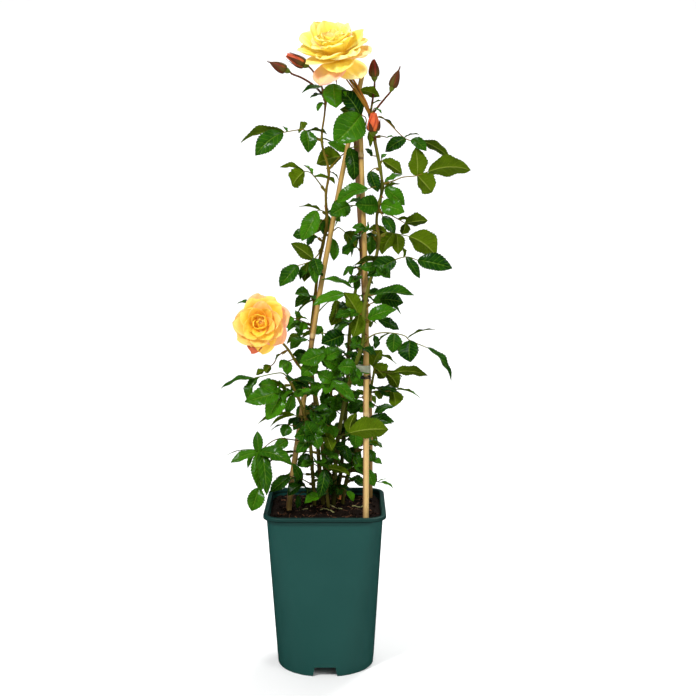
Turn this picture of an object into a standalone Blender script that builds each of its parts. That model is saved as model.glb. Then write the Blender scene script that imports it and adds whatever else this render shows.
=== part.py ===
# A climbing rose in a square-topped nursery pot, tied to a tripod of bamboo canes.
# The model is in metres, +Z up, with its origin on the pot's axis at the surface it stands on.
# The tables of the plant are in millimetres, because its pieces are that small.
import itertools
import math
import random

import bmesh
import bpy
from mathutils import Matrix, Vector

MM = 0.001
GAP = 0.0003

# The pot: a square top with rounded corners that runs down to a nearly round foot.
POT_HEIGHT = 0.246
POT_LIP_HALF = 0.090
POT_LIP_HEIGHT = 0.006
POT_TOP_HALF = 0.085
POT_FOOT_HALF = 0.073
POT_TOP_CORNER = 0.022
POT_FOOT_CORNER = 0.068
POT_WALL = 0.0018
POT_FLOOR_UNDER = 0.015
POT_FLOOR_TOP = 0.0172
POT_CENTRE_FOOT = 0.018
NOTCH_TOP_WIDTH = 0.031
NOTCH_FOOT_WIDTH = 0.037
NOTCH_HEIGHT = 0.0145
CORNER_STEPS = 5

SOIL_EDGE = 0.234
SOIL_CENTRE = 0.240
SOIL_RINGS = (0.0, 0.3, 0.55, 0.8, 1.0)
SOIL_ROUGHNESS = 0.0016
HOLE_TOP = 0.252
HOLE_SIDES = 8

# Places on the plant are (across, up, behind): how far right of the pot's axis and how high a
# point lines up, on the plane through the axis, for an eye level with the upper leaves, and how
# far behind that plane it lies along the line of sight.
EYE = Vector((0.034, -1.775, 0.730))

# Each cane: its places from the soil to the top, its radius at each end, and its joints' heights.
CANES = {
    "cane_left": (
        [(-63, 140, -12), (-54, 254, -11), (-35, 385, -9), (-12, 540, -7), (22, 720, -2), (56, 886, 2)],
        (4.6, 3.4),
        (500, 690, 840),
    ),
    "cane_right": (
        [(60, 140, -64), (61, 240, -65), (61, 400, -50), (60, 560, -35), (54, 740, -17), (50, 856, -8)],
        (4.6, 3.6),
        (390, 570, 764),
    ),
    "cane_back": (
        [(64, 180, 56), (67, 270, 59), (66, 400, 46), (58, 560, 33), (47, 750, 18), (43, 858, 12)],
        (4.4, 3.4),
        (420, 610, 800),
    ),
}

# Each stem: its route from below the soil as (across, up, behind, radius).
LEFT_ROUTE = [
    (-4, 205, 12, 3.4), (-4, 248, 12, 3.4), (-8, 285, 10, 3.2), (-11, 330, 10, 3.0),
    (-12, 370, 10, 2.9), (-16, 410, 11, 2.8), (-20, 450, 12, 2.7), (-21, 490, 13, 2.6),
    (-18, 530, 13, 2.5), (-14, 565, 11, 2.4), (-10, 600, 10, 2.4), (-3, 635, 9, 2.3),
    (3, 665, 7, 2.2), (2, 690, 3, 2.0), (2, 712, 0, 1.9), (6, 735, -2, 2.0), (4, 752, -2, 1.8),
    (-1, 768, -1, 1.8), (-4, 785, 0, 1.9), (-3, 803, 0, 1.5), (0, 822, 0, 1.4), (2, 845, 0, 1.5),
]
RIGHT_ROUTE = [
    (12, 205, 8, 3.6), (12, 246, 8, 3.6), (15, 300, 5, 3.4), (19, 345, -2, 3.2),
    (25, 380, -12, 3.1), (31, 410, -22, 3.0), (40, 440, -36, 3.0), (48, 464, -46, 2.9),
    (54, 482, -51, 2.8), (57, 505, -52, 2.8), (57, 530, -51, 2.7), (60, 552, -49, 2.6),
    (65, 575, -45, 2.5), (72, 600, -39, 2.5), (77, 625, -34, 2.4), (79, 645, -29, 2.4),
    (76, 665, -25, 2.2), (77, 682, -20, 2.1), (82, 705, -15, 2.2), (84, 722, -13, 2.2),
    (81, 745, -16, 2.2), (76, 770, -20, 2.4), (72, 790, -22, 2.6), (69, 808, -23, 2.4),
    (65, 824, -24, 2.0),
]
MIDDLE_ROUTE = [
    (18, 205, 30, 3.0), (18, 254, 30, 3.0), (24, 300, 30, 2.9), (28, 350, 28, 2.8),
    (32, 400, 24, 2.7), (34, 450, 20, 2.6), (36, 500, 15, 2.4), (42, 550, 9, 2.3),
    (50, 590, 4, 2.2), (57, 620, 2, 2.1), (57, 650, 1, 2.0), (57, 690, 1, 1.9),
    (55, 730, 0, 1.8), (54, 770, 0, 1.7), (53, 806, 1, 1.6),
]
LOW_LEFT_ROUTE = [
    (-17, 205, -3, 2.8), (-17, 242, -3, 2.8), (-18, 270, -8, 2.7), (-20, 300, -18, 2.6),
    (-22, 330, -28, 2.5), (-26, 360, -38, 2.4), (-34, 390, -46, 2.2), (-44, 415, -50, 2.0),
    (-54, 434, -50, 1.7),
]
LOW_RIGHT_ROUTE = [
    (26, 205, 14, 2.8), (26, 248, 14, 2.8), (32, 280, 12, 2.7), (44, 320, 8, 2.5),
    (56, 360, 2, 2.3), (64, 400, -6, 2.1), (70, 430, -14, 1.9), (74, 452, -20, 1.6),
]
BLOOM_STEM_ROUTE = [
    (4, 205, -10, 2.6), (4, 242, -10, 2.6), (-1, 290, -13, 2.5), (-5, 330, -17, 2.4),
    (-7, 370, -23, 2.3), (-14, 408, -30, 2.2), (-25, 436, -36, 2.1), (-36, 451, -39, 2.0),
    (-43, 460, -40, 1.9), (-52, 475, -40, 1.8), (-62, 488, -38, 1.8), (-74, 500, -34, 1.8),
    (-84, 508, -36, 2.0),
]
BACK_ROUTE = [
    (2, 205, 54, 2.8), (2, 264, 54, 2.8), (4, 304, 62, 2.6), (6, 350, 66, 2.4),
    (8, 400, 66, 2.2), (12, 450, 60, 2.0), (20, 500, 52, 1.8), (28, 545, 44, 1.5),
]

# Each leaf: its stalk's places, then its leaflets as (share of the way along the stalk,
# the tip's place, how far the upper face is turned away from the eye in degrees, width).
LEFT_LEAVES = [
    # the long leaf that reaches left below the buds
    ([(-4, 785, 0), (-17, 791, -4), (-30, 801, -6), (-44, 800, -9), (-61, 797, -12)],
     [(1.0, -101, 764, -20, 15, 27), (0.96, -122, 782, -2, 118, 22), (0.9, -61, 806, -4, 60, 7),
      (0.46, -24, 768, -14, 12, 23), (0.44, 4, 794, 8, 100, 18), (0.55, -35, 813, 14, 140, 18)]),
    # the olive leaf half way up on the left
    ([(1, 712, 0), (-8, 725, -6), (-20, 739, -11), (-31, 742, -13)],
     [(1.0, -66, 747, -16, 105, 18), (0.97, -47, 720, -30, 150, 28), (0.7, -31, 750, -2, 80, 12),
      (0.6, 15, 723, 13, 97, 18)]),
    ([(6, 742, -2), (10, 740, 2)],
     [(1.0, 20, 729, 10, 95, 9)]),
    ([(6, 744, -2), (20, 760, 12), (33, 771, 14)],
     [(0.7, -12, 752, 22, 150, 30), (1.0, 4, 783, 10, 20, 14), (0.9, -9, 789, 20, 95, 12)]),
    # small leaves below the fork of the buds
    ([(2, 843, 0), (-2, 856, -8), (0, 866, -14)],
     [(1.0, 17, 838, -24, 15, 30)]),
    ([(2, 842, 0), (-3, 852, -4), (-4, 862, -7)],
     [(1.0, -33, 853, -14, 92, 14)]),
    ([(2, 840, 0), (-3, 851, -5)],
     [(1.0, -21, 846, -14, 95, 10)]),
    ([(1, 836, 0), (-3, 840, -3)],
     [(1.0, -10, 827, -8, 40, 9)]),
    # the glossy leaf beside the left cane's upper half
    ([(3, 678, 5), (-5, 685, -4), (-12, 684, -9)],
     [(1.0, -34, 640, -16, 12, 25), (0.7, -38, 690, -4, 100, 16)]),
    ([(2, 672, 6), (-3, 671, 11)],
     [(1.0, -17, 650, 18, 150, 22)]),
    ([(-4, 632, 9), (-11, 619, 0), (-22, 610, -9), (-40, 604, -14)],
     [(1.0, -67, 573, -24, 20, 23), (0.7, -31, 580, -18, 155, 16), (0.5, -50, 637, 4, 150, 22),
      (0.46, -8, 589, -20, 30, 18), (0.6, -14, 577, -20, 25, 15)]),
    ([(1, 650, 8), (6, 648, 9), (12, 643, 8)],
     [(1.0, 13, 611, 8, 15, 14)]),
    ([(2, 655, 8), (12, 655, 6), (20, 660, 5), (30, 653, 4)],
     [(1.0, 45, 632, 2, 160, 22), (0.97, 39, 616, -8, 70, 12)]),
    ([(-15, 556, 11), (-17, 553, 5)],
     [(1.0, -43, 528, -8, 98, 13)]),
    # the crowd beside the lower bloom
    ([(-19, 515, 13), (-32, 521, 1), (-48, 527, -8)],
     [(1.0, -58, 520, -14, 20, 14), (0.85, -25, 524, -12, 92, 12), (0.7, -44, 538, 2, 40, 11),
      (0.5, -36, 508, -2, 30, 14), (0.65, -56, 505, -8, 60, 12)]),
    ([(-19, 505, 13), (-15, 503, 12)],
     [(1.0, -4, 514, 14, 20, 14)]),
    ([(-21, 490, 13), (-26, 494, 4)],
     [(1.0, -52, 479, -12, 52, 21)]),
    ([(-18, 525, 13), (-6, 540, 6), (6, 551, 2), (17, 553, 0)],
     [(1.0, 9, 515, -6, 150, 27)]),
    ([(-13, 385, 10), (-24, 392, 6)],
     [(1.0, -44, 380, 6, 15, 18)]),
    ([(-9, 300, 10), (-18, 306, 8)],
     [(1.0, -42, 312, 8, 15, 20)]),
    # leaves inside the crowd and behind it
    ([(-17, 418, 11), (-24, 424, 16), (-30, 428, 22)],
     [(1.0, -52, 419, 26, 25, 20), (0.8, -34, 405, 20, 40, 18), (0.8, -26, 447, 24, 15, 18)]),
    ([(-13, 385, 10), (-6, 392, 18), (0, 398, 26)],
     [(1.0, 20, 402, 34, 30, 18), (0.75, 6, 416, 24, 20, 17), (0.75, 4, 380, 28, 60, 16)]),
    ([(-20, 452, 12), (-12, 462, 20), (-4, 468, 28)],
     [(1.0, 16, 470, 36, 35, 20), (0.7, -2, 486, 24, 15, 17), (0.7, 4, 450, 30, 50, 18)]),
    ([(-14, 400, 10), (-22, 396, 20), (-28, 392, 28)],
     [(1.0, -36, 374, 36, 40, 16), (0.7, -12, 378, 26, 30, 14)]),
    ([(2, 690, 3), (4, 685, 10), (4, 678, 16)],
     [(1.0, -3, 650, 22, 30, 17), (0.6, 23, 668, 18, 40, 14)]),
]
RIGHT_LEAVES = [
    # round the foot of the top bloom's stalk
    ([(62, 832, -25), (56, 846, -19), (52, 857, -16)],
     [(1.0, 80, 848, -14, 140, 18)]),
    ([(65, 824, -24), (70, 838, -18)],
     [(1.0, 83, 842, -16, 95, 8)]),
    ([(66, 820, -24), (72, 832, -24)],
     [(1.0, 83, 824, -26, 70, 8)]),
    # the leaf that arches over to the far right
    ([(69, 808, -23), (79, 820, -18), (92, 812, -14), (118, 788, -8), (143, 785, -6)],
     [(1.0, 181, 762, 2, 138, 18), (0.82, 148, 770, -16, 25, 17), (0.72, 88, 769, -14, 15, 18),
      (0.7, 138, 794, 4, 95, 8), (0.16, 103, 801, -2, 100, 11)]),
    ([(70, 800, -22), (64, 798, -26)],
     [(1.0, 66, 776, -28, 140, 10)]),
    ([(72, 790, -22), (82, 792, -24), (91, 790, -25)],
     [(1.0, 100, 791, -26, 80, 7)]),
    ([(80, 750, -16), (83, 759, -16)],
     [(1.0, 91, 766, -16, 60, 9)]),
    ([(80, 748, -16), (84, 757, -18)],
     [(1.0, 113, 738, -26, 148, 19)]),
    ([(77, 763, -19), (69, 764, -18)],
     [(1.0, 58, 774, -25, 40, 9)]),
    # the big olive leaf on the right
    ([(84, 722, -13), (101, 728, -17), (114, 733, -19), (133, 735, -20), (151, 741, -23)],
     [(1.0, 213, 743, -34, 140, 36), (0.76, 132, 776, -8, 160, 28), (0.76, 157, 711, -32, 152, 31)]),
    ([(84, 722, -13), (88, 726, -12)],
     [(1.0, 114, 737, -8, 60, 14)]),
    ([(82, 742, -15), (74, 746, -15), (66, 741, -15)],
     [(1.0, 78, 711, -22, 15, 18)]),
    ([(83, 715, -13), (89, 717, -19)],
     [(1.0, 117, 692, -28, 18, 21), (0.6, 111, 723, -14, 120, 10)]),
    ([(80, 698, -16), (83, 694, -20)],
     [(1.0, 117, 682, -34, 5, 25)]),
    ([(80, 696, -16), (77, 693, -22)],
     [(1.0, 44, 694, -40, 5, 27)]),
    ([(83, 716, -13), (73, 719, -24), (63, 716, -32)],
     [(1.0, 17, 695, -36, 38, 23)]),
    ([(79, 690, -18), (81, 684, -22), (85, 676, -24)],
     [(1.0, 103, 651, -28, 8, 16)]),
    ([(77, 683, -20), (92, 680, -14), (106, 673, -11), (118, 666, -11)],
     [(1.0, 151, 670, -15, 142, 22), (0.72, 129, 667, 0, 112, 18), (1.0, 113, 650, -14, 150, 16)]),
    ([(79, 645, -29), (90, 652, -26), (104, 651, -24), (124, 647, -21)],
     [(1.0, 164, 618, -24, 150, 38), (0.3, 63, 657, -12, 130, 17), (0.5, 84, 620, -14, 158, 27),
      (0.25, 67, 622, -12, 150, 15), (0.6, 108, 620, -10, 165, 20)]),
    ([(74, 610, -37), (88, 608, -39), (118, 617, -37), (137, 612, -34)],
     [(1.0, 188, 600, -48, 22, 26), (0.72, 140, 585, -44, 25, 14), (0.65, 113, 631, -26, 120, 10),
      (0.3, 41, 603, -60, 118, 18), (0.46, 62, 588, -58, 12, 25), (0.05, 37, 576, -62, 100, 13)]),
    ([(62, 562, -47), (68, 560, -50), (73, 561, -51)],
     [(1.0, 132, 560, -60, 58, 24)]),
    ([(58, 541, -50), (68, 548, -44), (82, 553, -40)],
     [(1.0, 116, 549, -40, 10, 22), (0.6, 94, 557, -28, 20, 15), (1.0, 113, 531, -34, 60, 9)]),
    ([(57, 528, -51), (64, 526, -54)],
     [(1.0, 106, 539, -60, 25, 22)]),
    ([(57, 518, -52), (68, 524, -47), (79, 525, -43)],
     [(1.0, 110, 509, -43, 28, 16)]),
    ([(57, 534, -51), (50, 531, -54)],
     [(1.0, 28, 565, -56, 150, 25), (1.0, 41, 498, -62, 150, 24), (0.8, 20, 532, -42, 40, 14)]),
    # the long arching leaf low on the right
    ([(55, 486, -51), (66, 498, -55), (80, 504, -58), (100, 504, -60), (118, 500, -60), (126, 493, -60),
      (152, 482, -60)],
     [(1.0, 188, 432, -66, 65, 20), (0.75, 127, 460, -66, -10, 28), (0.7, 164, 509, -50, 100, 13),
      (0.5, 100, 474, -64, 10, 22), (0.22, 74, 480, -60, 50, 14), (0.45, 78, 488, -50, 95, 8)]),
    ([(56, 492, -52), (50, 500, -48)],
     [(1.0, 44, 485, -50, 20, 15)]),
    # the front of the crowd, and the big olive leaf across the right cane
    ([(35, 425, -30), (38, 440, -46), (46, 452, -56)],
     [(1.0, 18, 452, -64, 10, 22), (1.0, 40, 430, -62, 20, 18)]),
    ([(30, 405, -21), (16, 420, -36), (10, 432, -44)],
     [(1.0, 45, 400, -56, 18, 16), (1.0, -12, 446, -50, 15, 20), (1.0, 0, 412, -50, 30, 20)]),
    ([(22, 358, -6), (8, 362, -24), (-2, 368, -34)],
     [(1.0, -20, 384, -42, 20, 18), (1.0, -12, 348, -44, 10, 20), (0.7, 14, 344, -30, 20, 18)]),
    ([(20, 350, -4), (28, 350, -42), (36, 353, -74)],
     [(1.0, 95, 358, -84, 148, 34), (1.0, 47, 384, -78, 150, 18)]),
    ([(18, 335, -1), (8, 348, -30), (0, 352, -42)],
     [(1.0, 10, 325, -46, 150, 20)]),
    ([(14, 290, 5), (14, 298, -14), (1, 299, -28)],
     [(1.0, 38, 287, -34, 130, 17)]),
    ([(13, 282, 6), (4, 296, -22), (0, 297, -34)],
     [(1.0, -10, 252, -44, 0, 17)]),
    ([(12, 262, 7), (24, 268, -2), (33, 263, -8)],
     [(1.0, 42, 247, -12, 20, 10)]),
    ([(16, 312, 3), (24, 330, -8), (30, 334, -12)],
     [(1.0, 37, 306, -14, 10, 13), (1.0, 13, 331, -18, 10, 13)]),
    ([(35, 425, -27), (40, 436, -20), (44, 442, -14)],
     [(1.0, 57, 424, -8, 25, 17), (0.8, 30, 456, -16, 60, 16), (0.6, 57, 454, -10, 20, 15)]),
    ([(77, 640, -30), (72, 646, -26), (68, 648, -22)],
     [(1.0, 66, 619, -18, 20, 14)]),
]
MIDDLE_LEAVES = [
    # the big veined leaf below the bloom, in front of where the canes meet
    ([(53, 804, 1), (60, 811, -4), (59, 819, -17), (52, 822, -21)],
     [(1.0, 14, 783, -34, 5, 43), (1.0, 25, 858, -22, 15, 26), (1.0, 22, 830, -27, 140, 16)]),
    ([(54, 776, 0), (46, 775, -3), (38, 771, -4)],
     [(1.0, 45, 728, 0, 25, 18)]),
    ([(57, 690, 1), (46, 692, -4), (36, 692, -10)],
     [(1.0, 8, 677, -20, 8, 26), (0.7, 15, 661, -14, 80, 13)]),
    ([(50, 588, 4), (48, 584, -6)],
     [(1.0, 34, 579, -14, 30, 13), (1.0, 44, 567, -12, 20, 11)]),
    ([(46, 570, 6), (44, 572, -4), (39, 572, -12)],
     [(1.0, -6, 583, -20, 60, 15)]),
    ([(43, 555, 8), (36, 560, -6), (29, 562, -14)],
     [(1.0, -18, 545, -26, 38, 19)]),
    ([(36, 498, 15), (34, 501, -4), (27, 501, -16)],
     [(1.0, -6, 488, -30, 5, 26), (0.85, 5, 496, -8, 80, 12)]),
    ([(34, 440, 21), (30, 446, 8), (22, 452, 2)],
     [(1.0, -4, 464, -6, 15, 22), (0.7, 8, 436, 4, 30, 20), (0.9, 14, 474, 2, 20, 18)]),
    ([(30, 375, 26), (20, 384, 14), (12, 390, 8)],
     [(0.8, 20, 412, 4, 15, 20), (1.0, 2, 366, -2, 10, 20)]),
    ([(26, 325, 29), (18, 332, 20), (12, 338, 14)],
     [(1.0, -2, 318, 6, 15, 20), (0.7, 38, 314, 18, 30, 16)]),
    # leaves inside the crowd
    ([(32, 400, 24), (38, 404, 26), (44, 402, 28)],
     [(1.0, 58, 384, 30, 25, 16), (0.7, 38, 381, 24, 20, 15), (0.7, 54, 414, 30, 60, 14)]),
    ([(35, 470, 18), (40, 478, 24), (44, 482, 30)],
     [(1.0, 62, 474, 36, 40, 18), (0.7, 46, 503, 30, 20, 18), (0.6, 28, 488, 22, 35, 16)]),
    ([(33, 430, 21), (24, 436, 26), (16, 438, 30)],
     [(1.0, -2, 430, 34, 30, 18), (0.7, 20, 456, 28, 20, 16), (0.6, 22, 418, 26, 40, 16)]),
    ([(24, 300, 30), (18, 312, 36), (12, 320, 40)],
     [(1.0, -8, 326, 44, 30, 17), (0.7, 8, 342, 38, 20, 16), (0.7, 22, 292, 38, 60, 15)]),
]
LOW_LEFT_LEAVES = [
    # the leaf that reaches furthest left
    ([(-52, 430, -50), (-62, 443, -52), (-77, 443, -56), (-107, 436, -62)],
     [(1.0, -156, 420, -66, 72, 20), (0.85, -117, 403, -70, 55, 20)]),
    ([(-40, 407, -49), (-52, 413, -54), (-64, 416, -58)],
     [(1.0, -121, 400, -82, 22, 27), (0.95, -88, 372, -74, 0, 26), (0.7, -91, 430, -54, 112, 18),
      (0.4, -58, 382, -52, 30, 16)]),
    ([(-30, 376, -43), (-46, 380, -52)],
     [(1.0, -101, 367, -68, 94, 17), (1.0, -84, 361, -60, 112, 12)]),
    ([(-25, 353, -36), (-42, 362, -48), (-58, 366, -54)],
     [(1.0, -64, 347, -62, 10, 17), (1.0, -82, 356, -58, 80, 7)]),
    # the big leaf that hangs over the pot's left edge
    ([(-22, 338, -31), (-45, 342, -46), (-74, 343, -60), (-101, 323, -66)],
     [(1.0, -102, 356, -60, 0, 14), (1.0, -143, 307, -78, 35, 16), (0.97, -148, 319, -58, 92, 10),
      (0.98, -50, 303, -86, 32, 24), (0.96, -98, 262, -82, 10, 25), (0.94, -89, 256, -92, 15, 20),
      (0.97, -117, 298, -56, 60, 12), (0.45, -78, 328, -64, 10, 16)]),
    ([(-92, 330, -64), (-103, 300, -62), (-101, 268, -64)],
     [(1.0, -112, 232, -72, 8, 24)]),
    ([(-18, 272, -9), (-36, 282, -30), (-54, 286, -46)],
     [(1.0, -84, 261, -60, 25, 19), (1.0, -76, 283, -50, 95, 10), (0.6, -50, 307, -52, 20, 13)]),
    ([(-23, 345, -33), (-18, 350, -50)],
     [(1.0, -47, 347, -64, 15, 25), (1.0, -30, 372, -60, 10, 22), (1.0, -44, 322, -58, 25, 18),
      (1.0, -10, 328, -60, 10, 18)]),
    ([(-20, 303, -19), (-22, 311, -26)],
     [(1.0, -43, 303, -34, 15, 20)]),
    ([(-17, 252, -5), (-32, 262, -20), (-42, 256, -30)],
     [(1.0, -43, 236, -34, 30, 10)]),
    ([(-17, 260, -6), (-12, 262, -24), (-8, 256, -34)],
     [(1.0, -32, 244, -42, 30, 15)]),
]
LOW_RIGHT_LEAVES = [
    ([(73, 446, -18), (86, 446, -26), (100, 444, -32)],
     [(1.0, 153, 440, -42, 132, 20), (0.6, 109, 421, -36, 148, 22), (0.95, 115, 437, -24, 80, 8)]),
    ([(74, 452, -20), (71, 454, -23)],
     [(1.0, 84, 479, -28, 150, 23), (1.0, 89, 436, -30, 145, 26)]),
    ([(68, 415, -10), (85, 416, -16), (98, 417, -20), (106, 419, -22)],
     [(1.0, 142, 406, -28, 96, 16), (0.85, 104, 393, -30, 158, 22), (0.45, 80, 404, -20, 140, 18)]),
    ([(64, 398, -6), (85, 392, -14), (103, 393, -20)],
     [(1.0, 73, 382, -32, 55, 17)]),
    ([(58, 368, 0), (64, 374, -8), (68, 377, -14)],
     [(1.0, 100, 367, -22, 35, 15)]),
    ([(48, 335, 6), (60, 338, 0), (67, 338, -6)],
     [(1.0, 84, 329, -10, 108, 12)]),
    ([(45, 325, 7), (58, 328, 4), (65, 327, 0)],
     [(1.0, 74, 310, -4, 20, 10)]),
    ([(36, 292, 11), (50, 300, 6), (64, 297, 2)],
     [(1.0, 74, 270, -2, 15, 14)]),
    ([(32, 280, 12), (60, 280, 16), (84, 277, 14)],
     [(1.0, 103, 267, 12, 60, 9), (0.9, 93, 282, 16, 85, 6)]),
    ([(42, 316, 9), (44, 319, 0)],
     [(1.0, 57, 289, -8, 15, 17)]),
    ([(53, 352, 4), (46, 355, -4)],
     [(1.0, 44, 329, -10, 20, 22)]),
    ([(62, 390, -4), (50, 398, -10)],
     [(1.0, 40, 382, -14, 20, 16)]),
]
BLOOM_STEM_LEAVES = [
    ([(-74, 500, -34), (-90, 528, -28), (-109, 550, -30)],
     [(1.0, -130, 548, -34, 60, 9)]),
    ([(-55, 479, -40), (-70, 470, -42), (-77, 458, -44), (-91, 448, -45)],
     [(0.75, -89, 444, -50, 150, 14), (1.0, -103, 441, -48, 140, 11), (0.3, -73, 464, -46, 95, 10)]),
    ([(-46, 465, -39), (-56, 462, -43)],
     [(1.0, -69, 452, -48, 20, 12), (0.9, -57, 441, -46, 10, 14)]),
    ([(-25, 437, -36), (-12, 458, -46), (0, 474, -50)],
     [(1.0, -38, 459, -56, 18, 25), (0.6, -36, 440, -50, 5, 22), (0.8, 22, 478, -40, 20, 20)]),
    ([(-7, 370, -23), (-13, 377, -24)],
     [(1.0, -35, 366, -22, 15, 20)]),
    ([(-14, 407, -30), (-17, 413, -37)],
     [(1.0, -50, 409, -40, 60, 22), (1.0, -2, 426, -44, 30, 20)]),
    ([(-6, 340, -18), (-5, 352, -16), (-2, 362, -14)],
     [(1.0, 14, 349, -14, 30, 17), (0.7, -15, 374, -8, 20, 15), (0.6, 3, 383, -14, 60, 13)]),
]

# The stalks of the buds and blooms, each from its stem to the cup under its petals.
BUD_STALKS = {
    "bud_left_outer": [(2, 844, 0), (-6, 855, -3), (-18, 866, -6), (-33, 875, -9), (-47, 883, -11)],
    "bud_left_inner": [(2, 844, 0), (-2, 857, 8), (-8, 871, 18), (-17, 884, 27), (-27, 891, 31)],
    "bud_right_inner": [(66, 820, -24), (69, 840, -14), (72, 858, -10), (72, 872, -9)],
    "bud_right_outer": [(66, 820, -24), (76, 832, -20), (86, 842, -16), (96, 857, -14)],
    "bud_front": [(74, 786, -20), (73, 792, -30), (71, 800, -37)],
}
# Each bud: the place of its tip, its greatest width, how far it has opened, and its sepals' reach.
BUDS = {
    "bud_left_outer": ((-76, 899, -14), 13, 0.15, 1.22),
    "bud_left_inner": ((-54, 904, 33), 17, 0.55, 0.95),
    "bud_right_inner": ((71, 898, -10), 13, 0.15, 0.80),
    "bud_right_outer": ((107, 885, -14), 13, 0.10, 1.30),
    "bud_front": ((71, 825, -42), 18, 0.65, 0.45),
}

# Each bloom: its stalk, the direction it faces, and its rings of petals from the outside in as
# (count, length, base slope, tip slope, width); a slope is measured from the way it faces.
TOP_BLOOM_STALK = [(65, 824, -24), (59, 838, -28), (50, 854, -30), (38, 874, -24), (25, 892, -14), (15, 906, -9)]
TOP_BLOOM_FACING = Vector((-0.28, -0.68, 0.68))
TOP_BLOOM_RINGS = [
    (5, 56, 60, 106, 56), (5, 53, 40, 74, 50), (4, 44, 20, 48, 38),
]
LOW_BLOOM_STALK = [(-74, 500, -34), (-85, 510, -36), (-92, 518, -44)]
LOW_BLOOM_FACING = Vector((-0.10, -0.97, 0.20))
LOW_BLOOM_RINGS = [
    (5, 39, 60, 98, 40), (5, 36, 42, 74, 36), (4, 29, 22, 48, 27),
]


def place(across, up, behind):
    """The point that lines up there for the eye and lies so far behind the axis plane."""
    on_plane = Vector((across, 0, up)) * MM
    return EYE + (on_plane - EYE) * (1 - behind * MM / EYE.y)


def places(rows):
    return [place(*row[:3]) for row in rows]


def along(points, share):
    """The point that far along a route, from 0 at its start to 1 at its end."""
    lengths = [(b - a).length for a, b in zip(points, points[1:])]
    left = share * sum(lengths)
    for a, b, length in zip(points, points[1:], lengths):
        if left <= length:
            return a.lerp(b, left / length)
        left -= length
    return points[-1].copy()


def material(name, colour, roughness):
    made = bpy.data.materials.new(name)
    made.use_nodes = True
    shader = made.node_tree.nodes["Principled BSDF"]
    shader.inputs["Base Color"].default_value = (*colour, 1)
    shader.inputs["Roughness"].default_value = roughness
    shader.inputs["Metallic"].default_value = 0
    made.diffuse_color = (*colour, 1)
    return made


def new_collection(name):
    made = bpy.data.collections.new(name)
    bpy.context.scene.collection.children.link(made)
    return made


def new_object(name, mesh, collection):
    made = bpy.data.objects.new(name, mesh)
    collection.objects.link(made)
    return made


def mesh_of(name, corners, faces):
    mesh = bpy.data.meshes.new(name)
    mesh.from_pydata(corners, [], faces)
    mesh.validate()
    return mesh


def finished_mesh(obj, weld=True):
    """The object's mesh as its modifiers leave it, in the world's frame."""
    graph = bpy.context.evaluated_depsgraph_get()
    mesh = bpy.data.meshes.new_from_object(obj.evaluated_get(graph))
    shape = bmesh.new()
    shape.from_mesh(mesh)
    shape.transform(obj.matrix_world)
    if weld:
        bmesh.ops.remove_doubles(shape, verts=shape.verts, dist=1e-6)
    shape.to_mesh(mesh)
    shape.free()
    return mesh


def tube(name, points, radii, collection, resolution=1):
    """A round tube through the points, with a radius at each, as a mesh object."""
    curve = bpy.data.curves.new(name, "CURVE")
    curve.dimensions = "3D"
    curve.bevel_depth = 1.0
    curve.bevel_resolution = resolution
    curve.use_fill_caps = True
    spline = curve.splines.new("POLY")
    spline.points.add(len(points) - 1)
    for spline_point, point, radius in zip(spline.points, points, radii):
        spline_point.co = (*point, 1)
        spline_point.radius = radius
    drawn = new_object(name + "_curve", curve, collection)
    bpy.context.view_layer.update()
    mesh = finished_mesh(drawn)
    bpy.data.objects.remove(drawn)
    made = new_object(name, mesh, collection)
    mesh.shade_smooth()
    return made


# The share of its triangles that a union keeps: those it drops crowd round its joints.
KEPT_TRIANGLES = 0.51
SLIVER = 1e-5


def triangulated(mesh):
    """Cuts a union's many-sided faces into triangles, from a middle point where a cut from
    corner to corner could double another edge."""
    shape = bmesh.new()
    shape.from_mesh(mesh)
    bmesh.ops.remove_doubles(shape, verts=shape.verts, dist=1e-6)
    bmesh.ops.dissolve_degenerate(shape, dist=SLIVER, edges=shape.edges)
    shape.verts.index_update()
    taken = {frozenset(corner.index for corner in edge.verts) for edge in shape.edges}
    crowded = []
    for face in sorted(shape.faces, key=lambda face: -len(face.verts)):
        ring = [corner.index for corner in face.verts]
        own = {frozenset((ring[i - 1], corner)) for i, corner in enumerate(ring)}
        cuts = {frozenset(pair) for pair in itertools.combinations(ring, 2)} - own
        if cuts & taken:
            crowded.append(face)
        else:
            taken |= cuts
    bmesh.ops.poke(shape, faces=crowded)
    bmesh.ops.triangulate(shape, faces=[face for face in shape.faces if len(face.verts) > 3])
    shape.to_mesh(mesh)
    shape.free()


def fused(name, main, pieces, collection):
    """One solid from the main object and a collection of pieces that are sunk into it."""
    union = main.modifiers.new("union", "BOOLEAN")
    union.operand_type = "COLLECTION"
    union.collection = pieces
    union.operation = "UNION"
    union.solver = "MANIFOLD"
    mesh = finished_mesh(main, weld=False)
    for obj in [main, *pieces.objects]:
        bpy.data.objects.remove(obj)
    bpy.data.collections.remove(pieces)
    triangulated(mesh)
    made = new_object(name, mesh, collection)
    lighter = made.modifiers.new("lighter", "DECIMATE")
    lighter.ratio = KEPT_TRIANGLES
    made.data = finished_mesh(made, weld=False)
    made.modifiers.clear()
    made.data.set_sharp_from_angle(angle=math.radians(50))
    return made


# Leaves: the blade's thickness, and how deep its foot is sunk in the stalk.
BLADE_THICKNESS = 0.0008
BLADE_ROOT = 0.0005


def blade_width(share):
    """Half a rose leaflet's width along its length: round at the base, drawn out at the tip."""
    return share**0.6 * (1 - share) ** 0.9 / 0.364


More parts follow.
